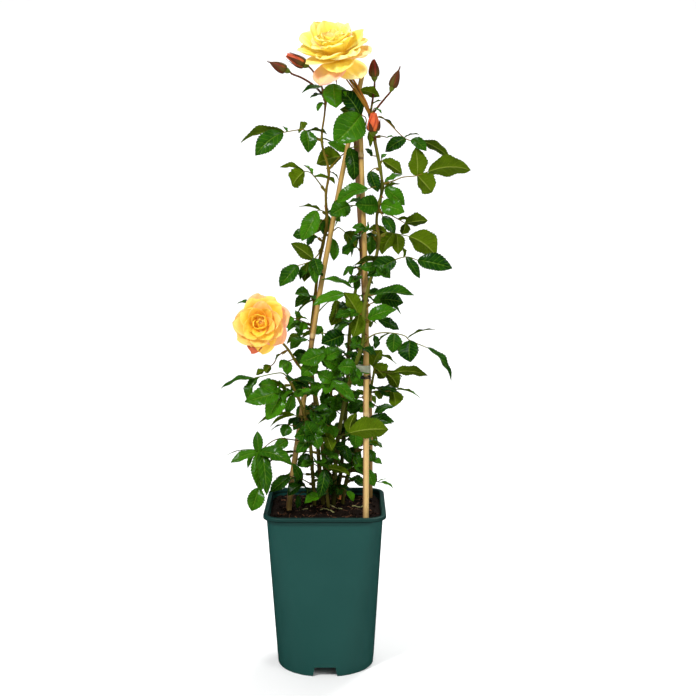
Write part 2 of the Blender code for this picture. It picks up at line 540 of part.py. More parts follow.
def leaflet(name, base, tip, turn, width, collection):
    """A folded, arched blade with toothed edges, one closed solid."""
    axis = (tip - base).normalized()
    length = (tip - base).length
    to_eye = EYE - (base + tip) / 2
    to_eye = (to_eye - axis * to_eye.dot(axis)).normalized()
    side = axis.cross(to_eye)
    if side.dot(Vector((0.35, 0, 1))) < 0:
        side = -side
    upper = to_eye * math.cos(math.radians(turn)) + side * math.sin(math.radians(turn))
    across = upper.cross(axis)

    teeth = 1 if length < 0.026 else 2 if length < 0.050 else 3
    edge = []
    for tooth in range(teeth):
        point = 0.92 * (tooth + 0.75) / teeth
        edge.append((point, 1.07 * blade_width(point)))
        notch = point + 0.05
        edge.append((notch, 0.84 * blade_width(notch)))
    rib = [0.5] if teeth < 3 else [0.32, 0.68]

    def corner(share, out, sign, layer):
        lift = length * 0.40 * share * (1 - share) + abs(out) * 0.22 + layer * BLADE_THICKNESS / 2
        return base + axis * (share * length) + across * (sign * out) + upper * lift

    corners = [tip]
    layers = []
    for layer in (1, -1):
        root = len(corners)
        corners += [corner(share, 0, 1, layer) for share in (0, *rib)]
        rib_row = [*range(root, len(corners)), 0]
        sides = []
        for sign in (1, -1):
            first = len(corners)
            corners += [corner(share, out * width / 2, sign, layer) for share, out in edge]
            sides.append([root, *range(first, len(corners)), 0])
        layers.append((rib_row, sides))
    edge_share = [0, *(share for share, _ in edge), 1]
    faces = []
    for (inner, sides), layer in zip(layers, (1, -1)):
        for outer, sign in zip(sides, (1, -1)):
            faces += strip(outer, edge_share, inner, [0, *rib, 1], -sign * layer)
    for high, low, sign in zip(layers[0][1], layers[1][1], (1, -1)):
        for i in range(len(high) - 1):
            face = [high[i], low[i], low[i + 1], high[i + 1]]
            face = face if sign < 0 else face[::-1]
            faces.append([c for n, c in enumerate(face) if c != face[n - 1]])
    return new_object(name, mesh_of(name, corners, faces), collection)


def strip(outer, outer_share, inner, inner_share, sign):
    """Triangles between a blade's edge and its rib, which meet at both ends."""
    faces = []
    i = j = 0
    while i < len(outer) - 1 or j < len(inner) - 1:
        step_outer = j == len(inner) - 1 or (
            i < len(outer) - 1 and outer_share[i + 1] <= inner_share[j + 1]
        )
        if step_outer:
            face = (inner[j], outer[i], outer[i + 1])
            i += 1
        else:
            face = (inner[j], outer[i], inner[j + 1])
            j += 1
        if len(set(face)) == 3:
            faces.append(face if sign > 0 else face[::-1])
    return faces


def add_leaf(name, leaf, pieces):
    """A compound leaf's stalk and leaflets."""
    stalk, leaflets = leaf
    points = places(stalk)
    radii = [(1.1 - 0.4 * i / len(points)) * MM for i in range(len(points))]
    tube(name + "_stalk", points, radii, pieces, resolution=0)
    for number, (share, *tip, turn, width) in enumerate(leaflets):
        root, end = along(points, share), place(*tip)
        root -= (end - root).normalized() * BLADE_ROOT * (1 + number % 4)
        leaflet(f"{name}_{number}", root, end, turn, width * MM, pieces)


# Stems

def add_prickles(name, route, radii, pieces, rng):
    """Broad-based prickles that point a little down, every few centimetres above the soil."""
    for number in range(3, len(route) - 2, 5):
        up = (route[number + 1] - route[number]).normalized()
        out = Vector((rng.uniform(-1, 1), rng.uniform(-1, 1), 0))
        out = (out - up * out.dot(up)).normalized()
        shape = bmesh.new()
        bmesh.ops.create_cone(shape, segments=4, radius1=1.7 * MM, radius2=0, depth=6 * MM, cap_ends=True)
        lean = (out - up * 0.25).to_track_quat("Z", "Y").to_matrix().to_4x4()
        middle = route[number] + out * (radii[number] * 0.6 + 2.4 * MM)
        shape.transform(Matrix.Translation(middle) @ lean)
        mesh = bpy.data.meshes.new(f"{name}_prickle_{number}")
        shape.to_mesh(mesh)
        shape.free()
        new_object(mesh.name, mesh, pieces)


def stem_route(rows):
    return places(rows), [row[3] * MM for row in rows]


# Buds and blooms

def bud_frame(name):
    """The top of the bud's cup, the way it points, and its length."""
    base = place(*BUD_STALKS[name][-1])
    tip = place(*BUDS[name][0])
    return base, (tip - base).normalized(), (tip - base).length


def turn_to(direction):
    return direction.to_track_quat("Z", "Y").to_matrix().to_4x4()


BUD_SHARES = (0, 0.22, 0.7)


def bud_profile(share, width, opened):
    """Half the bud's width along its length."""
    belly = math.sin(math.pi * min(share * 0.86 + 0.14, 1)) ** 0.8
    return width / 2 * MM * (belly * (1 - opened * share) + 0.55 * opened * share)


def bud_petals(name, collection):
    """A bud's furled petals: a turned spindle that sits in its cup."""
    base, direction, length = bud_frame(name)
    _, width, opened, _ = BUDS[name]
    shares = (1, *BUD_SHARES[::-1])
    rows = [(bud_profile(s, width, opened) if s < 1 else 0, s * length) for s in shares]
    made = turned(name, [(r, z + GAP) for r, z in rows], GAP, 8, collection)
    made.matrix_world = Matrix.Translation(base) @ turn_to(direction)
    return made


def turned(name, profile, foot, steps, collection):
    """A solid turned from (out, up) rows, top to bottom, closed by a flat foot."""
    corners = [(out, 0, up) for out, up in profile]
    corners += [(profile[-1][0] * 0.9, 0, foot - 0.0001), (0, 0, foot - 0.0001)]
    mesh = bpy.data.meshes.new(name)
    mesh.from_pydata(corners, [(i, i + 1) for i in range(len(corners) - 1)], [])
    made = new_object(name, mesh, collection)
    screw = made.modifiers.new("turned", "SCREW")
    screw.steps = screw.render_steps = steps
    screw.merge_threshold = 0.0001
    screw.use_merge_vertices = True
    return made


def sepal(name, frame, angle, rows, collection):
    """A narrow pointed blade through (out, up, half width) rows, at that angle round its cup."""
    corners = []
    for out, up, half in rows:
        corners += [(out, -half, up), (out, half, up)]
    last = len(corners)
    corners.append((rows[-1][0] * 0.98, 0, rows[-1][1] + 3 * MM))
    faces = []
    for i in range(0, last - 2, 2):
        faces += [(i, i + 1, i + 3), (i, i + 3, i + 2)]
    faces.append((last - 2, last - 1, last))
    made = new_object(name, mesh_of(name, corners, faces), collection)
    made.matrix_world = frame @ Matrix.Rotation(angle, 4, "Z")
    thickness = made.modifiers.new("thickness", "SOLIDIFY")
    thickness.thickness = 0.0007
    thickness.offset = 1
    return made


def add_bud_cup(name, pieces):
    """The bud's stalk, its swollen cup, and the sepals that clasp the petals."""
    base, direction, length = bud_frame(name)
    _, width, opened, reach = BUDS[name]
    route = places(BUD_STALKS[name])
    before = base - direction * 0.006
    route = route[:-1] + [before, base - direction * 0.003, base]
    radii = [1.1 * MM] * (len(route) - 3) + [1.3 * MM, width * 0.2 * MM, width * 0.24 * MM]
    tube(name + "_stalk", route, radii, pieces)
    frame = Matrix.Translation(base) @ turn_to(direction)
    for number in range(4):
        rows = [(width * 0.12 * MM, -0.003, 1.9 * MM)]
        for share, half in ((0, 2.2), (0.22, 2.4), (0.7, 1.4)):
            if share < reach:
                out = bud_profile(share, width, opened) + GAP * 1.6
                rows.append((out, share * length + GAP, half * MM))
        rows.append((max(bud_profile(min(reach, 0.98), width, opened), 0.6 * MM) + GAP * 2, reach * length, 0.5 * MM))
        sepal(f"{name}_sepal_{number}", frame, math.radians(90 * number + 30), rows, pieces)


def bloom_petal(name, frame, ring, turn, collection, rng):
    """A cupped petal that rises from the bloom's core and curls outward to a wavy rim."""
    _, length, base_slope, tip_slope, width = ring
    length, width = length * MM * rng.uniform(0.92, 1.05), width * MM
    steps, columns = 2, 2
    radius, height = 2 * MM, 1 * MM
    corners = []
    for step in range(steps + 1):
        share = step / steps
        slope = math.radians(base_slope + (tip_slope - base_slope) * share)
        if step:
            radius += math.sin(slope) * length / steps
            height += math.cos(slope) * length / steps
        half = width / 2 * (0.22 + 0.78 * math.sin(math.pi * min(0.62 * share + 0.02, 0.5)))
        if step == steps:
            half *= 0.72
        for column in range(columns + 1):
            side = 2 * column / columns - 1
            bend = side * half / max(radius, 9 * MM)
            out = radius * (1 + 0.05 * side)
            droop = 0.14 * length * share * abs(side)
            corners.append((out * math.cos(bend), out * math.sin(bend), height - droop * math.cos(slope)))
    faces = []
    for step in range(steps):
        for column in range(columns):
            a = step * (columns + 1) + column
            b = a + columns + 1
            faces += [(a, a + 1, b + 1), (a, b + 1, b)]
    made = new_object(name, mesh_of(name, corners, faces), collection)
    made.matrix_world = frame @ Matrix.Rotation(turn, 4, "Z")
    thickness = made.modifiers.new("thickness", "SOLIDIFY")
    thickness.thickness = 0.0009
    thickness.offset = 0
    return made


def bloom(name, stalk, facing, rings, seed, collection):
    """A bloom's petals in rings round a small core that sits on its cup."""
    rng = random.Random(seed)
    facing = facing.normalized()
    top = place(*stalk[-1])
    frame = Matrix.Translation(top + facing * 0.0042) @ turn_to(facing)
    pieces = new_collection(name + "_pieces")
    heart = rings[-1][1] * MM
    rows = [(0, 0.78), (0.14, 0.74), (0.24, 0.40), (0.12, 0.0)]
    core = turned(name + "_heart", [(out * heart, up * heart) for out, up in rows], -0.0038, 6, collection)
    core.matrix_world = frame
    turn = 0.3
    for number, ring in enumerate(rings):
        for petal in range(ring[0]):
            bloom_petal(f"{name}_{number}_{petal}", frame, ring, turn, pieces, rng)
            turn += math.tau / ring[0] + rng.uniform(-0.12, 0.12)
        turn += math.pi / ring[0]
    return fused(name, core, pieces, collection)


def add_bloom_cup(name, stalk, facing, pieces, sepal_length):
    """The bloom's stalk, its swollen cup and its bent-back sepals."""
    facing = facing.normalized()
    top = place(*stalk[-1])
    cup_top = top - facing * 0.0002
    route = places(stalk)[:-1] + [cup_top - facing * 0.008, cup_top - facing * 0.003, cup_top]
    radii = [1.9 * MM] * (len(route) - 3) + [2.4 * MM, 4.4 * MM, 4.6 * MM]
    tube(name + "_stalk", route, radii, pieces)
    frame = Matrix.Translation(cup_top) @ turn_to(facing)
    for number in range(5):
        rows = [
            (3.6 * MM, -2.4 * MM, 2.8 * MM),
            (10 * MM, -4.5 * MM, 2.6 * MM),
            (sepal_length * 0.7, -0.011, 1.6 * MM),
            (sepal_length * 0.85, -0.018, 0.7 * MM),
        ]
        sepal(f"{name}_sepal_{number}", frame, math.radians(72 * number + 20), rows, pieces)


def leafy_stem(name, route_rows, leaves, collection, seed, buds=(), blooms=()):
    """A stem with its prickles, leaves and the cups of its buds and blooms, as one solid."""
    rng = random.Random(seed)
    pieces = new_collection(name + "_pieces")
    points, radii = stem_route(route_rows)
    main = tube(name + "_main", points, radii, collection)
    add_prickles(name, points, radii, pieces, rng)
    for number, leaf in enumerate(leaves):
        add_leaf(f"{name}_leaf_{number}", leaf, pieces)
    for bud in buds:
        add_bud_cup(bud, pieces)
    for bloom_name, stalk, facing, sepal_length in blooms:
        add_bloom_cup(bloom_name + "_cup", stalk, facing, pieces, sepal_length)
    return fused(name, main, pieces, collection)


def back_leaves():
    """The leaves of the back stem, turned outward in a spiral."""
    rng = random.Random(11)
    leaves = []
    heights = [285, 315, 345, 375, 405, 435, 465, 495, 520]
    for number, height in enumerate(heights):
        root = route_place(BACK_ROUTE, height)
        heading = math.radians(40 + 100 * (number % 2) + rng.uniform(-25, 25))
        reach = rng.uniform(44, 56)
        stalk = []
        for step in range(4):
            share = step / 3
            stalk.append((
                root[0] + math.cos(heading) * reach * share,
                height + 26 * share - 18 * share**2,
                root[2] + math.sin(heading) * reach * share,
            ))
        end = stalk[-1]
        leaflets = [(1.0, end[0] + math.cos(heading) * 44, end[1] - 16, end[2] + math.sin(heading) * 44, 100, 24)]
        for sign in (-1, 1):
            bend = heading + sign * 1.1
            at = [a + (b - a) * 0.7 for a, b in zip(stalk[0], end)]
            leaflets.append((0.7, at[0] + math.cos(bend) * 36, at[1] - 8, at[2] + math.sin(bend) * 36, 100, 22))
        leaves.append((stalk, leaflets))
    return leaves


def route_place(route, height):
    """The place where a route reaches that height."""
    for low, high in zip(route, route[1:]):
        if low[1] <= height <= high[1]:
            t = (height - low[1]) / (high[1] - low[1])
            return [a + (b - a) * t for a, b in zip(low, high)]
    return list(route[-1])


# Pot

def rounded_square(half, corner, height):
    """A ring of points round a square with rounded corners."""
    ring = []
    for quarter in range(4):
        middle = Matrix.Rotation(quarter * math.pi / 2, 3, "Z") @ Vector((half - corner, half - corner, 0))
        for step in range(CORNER_STEPS + 1):
            angle = quarter * math.pi / 2 + step * math.pi / 2 / CORNER_STEPS
            ring.append(middle + Vector((corner * math.cos(angle), corner * math.sin(angle), height)))
    return ring


def loft(name, rings, collection):
    """A closed solid through rings of equally many points, capped at both ends."""
    count = len(rings[0])
    corners = [point for ring in rings for point in ring]
    faces = []
    for ring in range(len(rings) - 1):
        for i in range(count):
            a = ring * count + i
            b = ring * count + (i + 1) % count
            faces.append((a, b, b + count, a + count))
    faces.append(tuple(range(count))[::-1])
    faces.append(tuple(range((len(rings) - 1) * count, len(rings) * count)))
    return new_object(name, mesh_of(name, corners, faces), collection)


def pot_section(height, inset=0.0):
    """The pot's outline at a height, drawn in by an inset."""
    share = min(height / (POT_HEIGHT - POT_LIP_HEIGHT), 1)
    half = POT_FOOT_HALF + (POT_TOP_HALF - POT_FOOT_HALF) * share
    corner = POT_FOOT_CORNER + (POT_TOP_CORNER - POT_FOOT_CORNER) * share
    return rounded_square(half - inset, corner - inset, height)


def circle_ring(radius, height):
    count = 4 * (CORNER_STEPS + 1)
    start = math.pi / 4 / (CORNER_STEPS + 1)
    angles = [start + i * math.tau / count for i in range(count)]
    return [Vector((radius * math.cos(a), radius * math.sin(a), height)) for a in angles]


def build_pot(collection, cutters):
    rim = POT_HEIGHT
    under_lip = rim - POT_LIP_HEIGHT
    lip_corner = POT_TOP_CORNER + POT_LIP_HALF - POT_TOP_HALF
    inner_top = [
        rounded_square(POT_TOP_HALF - POT_WALL, POT_TOP_CORNER - POT_WALL, rim - 0.0004),
        rounded_square(POT_TOP_HALF - POT_WALL, POT_TOP_CORNER - POT_WALL, under_lip),
    ]
    rings = [
        circle_ring(POT_CENTRE_FOOT - 0.001, 0),
        circle_ring(POT_CENTRE_FOOT, 0.001),
        circle_ring(POT_CENTRE_FOOT, POT_FLOOR_UNDER),
        pot_section(POT_FLOOR_UNDER, POT_WALL),
        pot_section(0, POT_WALL),
        pot_section(0, 0.0006),
        pot_section(0.0012),
        pot_section(under_lip),
        rounded_square(POT_LIP_HALF - 0.0008, lip_corner, under_lip),
        rounded_square(POT_LIP_HALF, lip_corner, under_lip + 0.0012),
        rounded_square(POT_LIP_HALF, lip_corner, rim - 0.0016),
        rounded_square(POT_LIP_HALF - 0.0012, lip_corner - 0.0008, rim),
        rounded_square(POT_TOP_HALF - POT_WALL + 0.0008, POT_TOP_CORNER - POT_WALL + 0.0006, rim),
        *inner_top,
        pot_section(POT_FLOOR_TOP, POT_WALL + 0.0006),
    ]
    pot = loft("pot", rings, collection)
    for number in range(4):
        cutter = notch_cutter(number, cutters)
        cut = pot.modifiers.new(f"notch_{number}", "BOOLEAN")
        cut.object = cutter
        cut.operation = "DIFFERENCE"
    for number in range(4):
        angle = math.radians(45 + 90 * number)
        shape = bmesh.new()
        bmesh.ops.create_cone(shape, segments=8, radius1=0.005, radius2=0.005, depth=0.01, cap_ends=True)
        mesh = bpy.data.meshes.new(f"drain_{number}")
        shape.to_mesh(mesh)
        shape.free()
        cutter = cutter_object(mesh.name, mesh, cutters)
        cutter.location = (0.046 * math.cos(angle), 0.046 * math.sin(angle), POT_FLOOR_UNDER)
        cut = pot.modifiers.new(mesh.name, "BOOLEAN")
        cut.object = cutter
        cut.operation = "DIFFERENCE"
    pot.data.shade_smooth()
    pot.data.set_sharp_from_angle(angle=math.radians(35))
    pot.data.materials.append(material("pot_green_plastic", (0.018, 0.088, 0.070), 0.42))
    return pot


def cutter_object(name, mesh, cutters):
    made = new_object(name, mesh, cutters)
    made.hide_render = True
    made.display_type = "WIRE"
    return made


def notch_cutter(number, cutters):
    """A block, wider at the foot, that opens the pot's skirt to one side."""
    foot, top = NOTCH_FOOT_WIDTH / 2, NOTCH_TOP_WIDTH / 2
    near, far = 0.060, 0.080
    corners = [
        (-foot, -near, -0.002), (foot, -near, -0.002), (top, -near, NOTCH_HEIGHT), (-top, -near, NOTCH_HEIGHT),
        (-foot, -far, -0.002), (foot, -far, -0.002), (top, -far, NOTCH_HEIGHT), (-top, -far, NOTCH_HEIGHT),
    ]
    faces = [(0, 3, 2, 1), (4, 5, 6, 7), (0, 1, 5, 4), (2, 3, 7, 6), (1, 2, 6, 5), (3, 0, 4, 7)]
    mesh = mesh_of(f"notch_{number}", corners, faces)
    made = cutter_object(mesh.name, mesh, cutters)
    made.rotation_euler.z = number * math.pi / 2
    return made


# Soil

def build_soil(collection, cutters, holes):
    """The soil: it fills the pot, is a little higher at the plant and rough on top."""
    rng = random.Random(5)
    inset = POT_WALL + GAP
    rings = [
        pot_section(POT_FLOOR_TOP + GAP, inset + 0.0006),
        pot_section(SOIL_EDGE, inset),
    ]
    edge = rings[-1]
    for share in SOIL_RINGS[-2:0:-1]:
        ring = []
        for point in edge:
            height = SOIL_CENTRE + (SOIL_EDGE - SOIL_CENTRE) * share**2
            height += rng.uniform(-1, 1) * SOIL_ROUGHNESS
            ring.append(Vector((point.x * share, point.y * share, height)))
        rings.append(ring)
    soil = loft("soil", rings, collection)
    for number, (start, end, radius) in enumerate(holes):
        shape = bmesh.new()
        length = (end - start).length
        bmesh.ops.create_cone(
            shape, segments=HOLE_SIDES, radius1=radius, radius2=radius, depth=length, cap_ends=True
        )
        mesh = bpy.data.meshes.new(f"hole_{number}")
        shape.transform(Matrix.Translation((start + end) / 2) @ turn_to((end - start).normalized()))
        shape.to_mesh(mesh)
        shape.free()
        cut = soil.modifiers.new(mesh.name, "BOOLEAN")
        cut.object = cutter_object(mesh.name, mesh, cutters)
        cut.operation = "DIFFERENCE"
    soil.data.materials.append(material("soil_brown", (0.020, 0.012, 0.008), 0.95))
    return soil


def hole_for(rows, radius):
    """A straight hole round a stem's or a cane's first stretch."""
    start, end = place(*rows[0][:3]), place(*rows[1][:3])
    along_it = (end - start).normalized()
    low = start - along_it * 0.001
    high = start + along_it * ((HOLE_TOP - start.z) / along_it.z)
    return low, high, radius / math.cos(math.pi / HOLE_SIDES) + GAP


# Canes and ties

def cane_centre(name, height):
    """The point where a cane's middle passes that height."""
    points = places(CANES[name][0])
    for low, high in zip(points, points[1:]):
        if low.z <= height <= high.z:
            return low.lerp(high, (height - low.z) / (high.z - low.z))
    return points[-1]


def build_cane(name, collection):
    rows, (foot_radius, top_radius), joints = CANES[name]
    low, high = place(*rows[0]).z, place(*rows[-1]).z
    spots = {place(*row).z: 1.0 for row in rows}
    for joint in joints:
        height = joint * MM
        spots[height - 0.004] = 1.0
        spots[height] = 1.12
        spots[height + 0.004] = 1.0
    points, radii = [], []
    for height in sorted(spots):
        share = (height - low) / (high - low)
        points.append(cane_centre(name, height))
        radii.append((foot_radius + (top_radius - foot_radius) * share) * spots[height] * MM)
    made = tube(name, points, radii, collection, resolution=1)
    made.data.set_sharp_from_angle(angle=math.radians(50))
    made.data.materials.append(material(name + "_bamboo", (0.58, 0.38, 0.15), 0.5))
    return made


LOOP_POINTS = 14
TWINE_HEIGHTS = (0.839, 0.845)
TAPE_HEIGHTS = (0.452, 0.463)
TAPE_STEM_PLACE = (43.7, 451, -40.6)


def hull_loop(centres, reach):
    """Points of a band stretched round circles of that reach, in their plane."""
    middle = sum(centres, Vector()) / len(centres)
    loop = []
    for step in range(LOOP_POINTS):
        angle = step * math.tau / LOOP_POINTS
        way = Vector((math.cos(angle), math.sin(angle), 0))
        out = max((centre - middle).dot(way) for centre in centres) + reach
        loop.append((middle, way, out))
    corners = []
    for i, (centre, way, out) in enumerate(loop):
        _, next_way, next_out = loop[(i + 1) % len(loop)]
        cross = way.x * next_way.y - way.y * next_way.x
        corners.append(centre + Vector((
            (out * next_way.y - next_out * way.y) / cross,
            (next_out * way.x - out * next_way.x) / cross,
            0,
        )))
    return corners


def build_band(name, centres, reach, thickness, low, high, look, collection):
    """A flat band round several round things, between two heights."""
    inner = hull_loop(centres, reach)
    outer = hull_loop(centres, reach + thickness)
    rows = [(inner, high), (inner, low), (outer, low), (outer, high)]
    corners = [Vector((p.x, p.y, height)) for loop, height in rows for p in loop]
    count = len(inner)
    faces = []
    for row in range(4):
        for i in range(count):
            a, b = row * count + i, row * count + (i + 1) % count
            c, d = (row + 1) % 4 * count + (i + 1) % count, (row + 1) % 4 * count + i
            faces.append((a, b, c, d))
    made = new_object(name, mesh_of(name, corners, faces), collection)
    made.data.materials.append(look)
    return made


def main():
    for obj in list(bpy.data.objects):
        bpy.data.objects.remove(obj)
    rose = new_collection("climbing_rose")
    cutters = new_collection("cutters")
    cutters.hide_render = True

    routes = {
        "leafy_stem_left": LEFT_ROUTE,
        "leafy_stem_right": RIGHT_ROUTE,
        "leafy_stem_middle": MIDDLE_ROUTE,
        "leafy_stem_low_left": LOW_LEFT_ROUTE,
        "leafy_stem_low_right": LOW_RIGHT_ROUTE,
        "leafy_stem_low_bloom": BLOOM_STEM_ROUTE,
        "leafy_stem_back": BACK_ROUTE,
    }
    build_pot(rose, cutters)
    holes = [hole_for(route, route[0][3] * MM) for route in routes.values()]
    holes += [hole_for(rows, radii[0] * MM) for rows, radii, _ in CANES.values()]
    build_soil(rose, cutters, holes)
    for name in CANES:
        build_cane(name, rose)

    low, high = TWINE_HEIGHTS
    centres = [cane_centre(name, (low + high) / 2) for name in CANES]
    twine = material("tie_twine", (0.20, 0.13, 0.07), 0.9)
    build_band("cane_tie", centres, 0.0044, 0.0016, low, high, twine, rose)
    low, high = TAPE_HEIGHTS
    centres = [cane_centre("cane_right", (low + high) / 2), place(*TAPE_STEM_PLACE)]
    clear = material("tape_grey", (0.30, 0.31, 0.30), 0.35)
    build_band("tape_tie", centres, 0.0067, 0.0006, low, high, clear, rose)

    leaf_look = material("leaf_green", (0.030, 0.110, 0.012), 0.45)
    stems = [
        leafy_stem(
            "leafy_stem_left", LEFT_ROUTE, LEFT_LEAVES, rose, 1, buds=("bud_left_outer", "bud_left_inner")
        ),
        leafy_stem(
            "leafy_stem_right", RIGHT_ROUTE, RIGHT_LEAVES, rose, 2,
            buds=("bud_right_inner", "bud_right_outer", "bud_front"),
            blooms=[("top_bloom", TOP_BLOOM_STALK, TOP_BLOOM_FACING, 0.026)],
        ),
        leafy_stem("leafy_stem_middle", MIDDLE_ROUTE, MIDDLE_LEAVES, rose, 3),
        leafy_stem("leafy_stem_low_left", LOW_LEFT_ROUTE, LOW_LEFT_LEAVES, rose, 4),
        leafy_stem("leafy_stem_low_right", LOW_RIGHT_ROUTE, LOW_RIGHT_LEAVES, rose, 5),
        leafy_stem(
            "leafy_stem_low_bloom", BLOOM_STEM_ROUTE, BLOOM_STEM_LEAVES, rose, 6,
            blooms=[("low_bloom", LOW_BLOOM_STALK, LOW_BLOOM_FACING, 0.022)],
        ),
        leafy_stem("leafy_stem_back", BACK_ROUTE, back_leaves(), rose, 7),
    ]
    for stem in stems:
        stem.data.materials.append(leaf_look)

    top = bloom("top_bloom", TOP_BLOOM_STALK, TOP_BLOOM_FACING, TOP_BLOOM_RINGS, 21, rose)
    top.data.materials.append(material("petal_lemon", (0.92, 0.74, 0.20), 0.6))
    low = bloom("low_bloom", LOW_BLOOM_STALK, LOW_BLOOM_FACING, LOW_BLOOM_RINGS, 22, rose)
    low.data.materials.append(material("petal_apricot", (0.92, 0.50, 0.12), 0.6))
    bud_look = material("petal_bud_red", (0.45, 0.06, 0.03), 0.5)
    for name in BUDS:
        bud_petals(name, rose).data.materials.append(bud_look)


main()
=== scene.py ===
# The looks of a potted climbing rose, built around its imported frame.
# Metres, +Z up. Places on the plant are rows of (across, up, behind) in millimetres: where the point
# lines up on the plane through the pot's axis for the eye below, and how far behind that plane it lies.
import math
import random

import bpy
import numpy as np
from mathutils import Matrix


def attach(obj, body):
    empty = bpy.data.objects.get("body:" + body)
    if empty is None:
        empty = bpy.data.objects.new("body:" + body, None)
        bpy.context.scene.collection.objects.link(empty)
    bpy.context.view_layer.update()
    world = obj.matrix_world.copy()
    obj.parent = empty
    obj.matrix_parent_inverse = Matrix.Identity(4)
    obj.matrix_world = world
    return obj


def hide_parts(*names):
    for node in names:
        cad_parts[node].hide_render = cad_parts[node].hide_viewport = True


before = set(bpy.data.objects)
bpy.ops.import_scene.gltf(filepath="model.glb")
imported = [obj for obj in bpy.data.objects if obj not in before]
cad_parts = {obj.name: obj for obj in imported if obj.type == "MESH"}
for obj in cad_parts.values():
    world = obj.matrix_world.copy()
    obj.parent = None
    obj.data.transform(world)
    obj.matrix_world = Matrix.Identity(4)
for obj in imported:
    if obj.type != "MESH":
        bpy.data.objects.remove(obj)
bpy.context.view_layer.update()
mm = 0.001
eye = np.array([0.034, -1.775, 0.730])


# Paths and skins

def place(rows):
    # the plane point moved along its line of sight: eye + (point - eye) * (1 + behind / distance)
    rows = np.atleast_2d(np.asarray(rows, float))
    onPlane = np.stack([rows[:, 0], rows[:, 0] * 0, rows[:, 1]], 1) * mm
    return eye + (onPlane - eye) * (1 - rows[:, 2:3] * mm / eye[1])


def unit(vectors):
    # each vector over its length
    return vectors / np.maximum(np.linalg.norm(vectors, axis=-1, keepdims=True), 1e-12)


def smoothPath(points, count):
    # Catmull-Rom: each stretch is a cubic through its ends, leaving along the line of its neighbours
    points = np.asarray(points, float)
    ends = np.concatenate([[2 * points[0] - points[1]], points, [2 * points[-1] - points[-2]]])
    steps = np.linspace(0, len(points) - 1, count)
    i = np.minimum(steps.astype(int), len(points) - 2)
    t = (steps - i)[:, None]
    a, b, c, d = ends[i], ends[i + 1], ends[i + 2], ends[i + 3]
    return 0.5 * (2 * b + (c - a) * t + (2 * a - 5 * b + 4 * c - d) * t**2 + (3 * b - a - 3 * c + d) * t**3)


def reached(points):
    # how far along its path each point is: the running sum of the steps between points
    return np.concatenate([[0], np.cumsum(np.linalg.norm(np.diff(points, axis=0), axis=1))])


def along(points, share):
    # the point that share of a route's length from its start
    steps = reached(points)
    return np.array([np.interp(share * steps[-1], steps, points[:, k]) for k in range(3)])


def spread(values, count):
    # a short row of values drawn out evenly to count of them
    return np.interp(np.linspace(0, 1, count), np.linspace(0, 1, len(values)), values)


def ripple(points, wavelength, seed, waves=9):
    # a smooth random field from -1 to 1: the mean of sine waves in random directions, doubled
    rng = np.random.default_rng(seed)
    ways = unit(rng.normal(size=(waves, 3))) * (math.tau / wavelength) * rng.uniform(0.6, 1.5, (waves, 1))
    return np.clip(np.sin(points @ ways.T + rng.uniform(0, math.tau, waves)).mean(-1) * 2, -1, 1)


def joined(*parts):
    # numbers side by side for each point of a grid
    return np.stack(np.broadcast_arrays(*parts), -1)


def skin(rings, spot, look, upper=None, poles=None):
    # A closed skin: rings of points joined in order, shut by a point at each end. rings is (rows,
    # around, 3); spot and look are three numbers a point that guide the colours; upper marks the
    # steps round a ring that belong to a blade's upper face.
    rows, around = rings.shape[:2]
    start, end = poles if poles else (rings[0].mean(0), rings[-1].mean(0))
    points = np.concatenate([rings.reshape(-1, 3), [start, end]])
    grid = np.arange(rows * around).reshape(rows, around)
    turned = np.roll(grid, -1, 1)
    quads = np.stack([grid[:-1], grid[1:], turned[1:], turned[:-1]], -1).reshape(-1, 4)
    first = np.stack([grid[0] * 0 + rows * around, grid[0], turned[0]], -1)
    last = np.stack([grid[0] * 0 + rows * around + 1, turned[-1], grid[-1]], -1)
    tris = np.concatenate([first, last])
    a, b, c, d = (points[quads[:, k]] for k in range(4))
    volume = (np.cross(a, b) * c).sum() + (np.cross(a, c) * d).sum()
    a, b, c = (points[tris[:, k]] for k in range(3))
    if volume + (np.cross(a, b) * c).sum() < 0:
        quads, tris = quads[:, ::-1], tris[:, ::-1]
    upper = np.ones(around) if upper is None else upper
    shape = (rows, around, 3)
    spot = np.broadcast_to(spot, shape).reshape(-1, 3)
    look = np.broadcast_to(look, shape).reshape(-1, 3)
    return {
        "points": points, "quads": quads, "tris": tris,
        "spot": np.concatenate([spot, [spot[0], spot[-1]]]),
        "look": np.concatenate([look, [look[0], look[-1]]]),
        "upper": np.concatenate([np.tile(upper, rows - 1), upper, upper]),
    }


def twoFaced(top, under, columns, share, seed, look):
    # a thin closed skin: the upper face from rim to rim, then the lower face back between them
    rings = np.concatenate([top, under[:, -2:0:-1]], 1)
    across = np.concatenate([columns, columns[-2:0:-1]])
    upper = np.arange(len(across)) < len(columns) - 1
    return skin(rings, joined(across, share, seed), look, upper.astype(float))


def circle(count):
    # angles in equal steps once round
    return np.linspace(0, math.tau, count, endpoint=False)


ropeDepth = 0.22


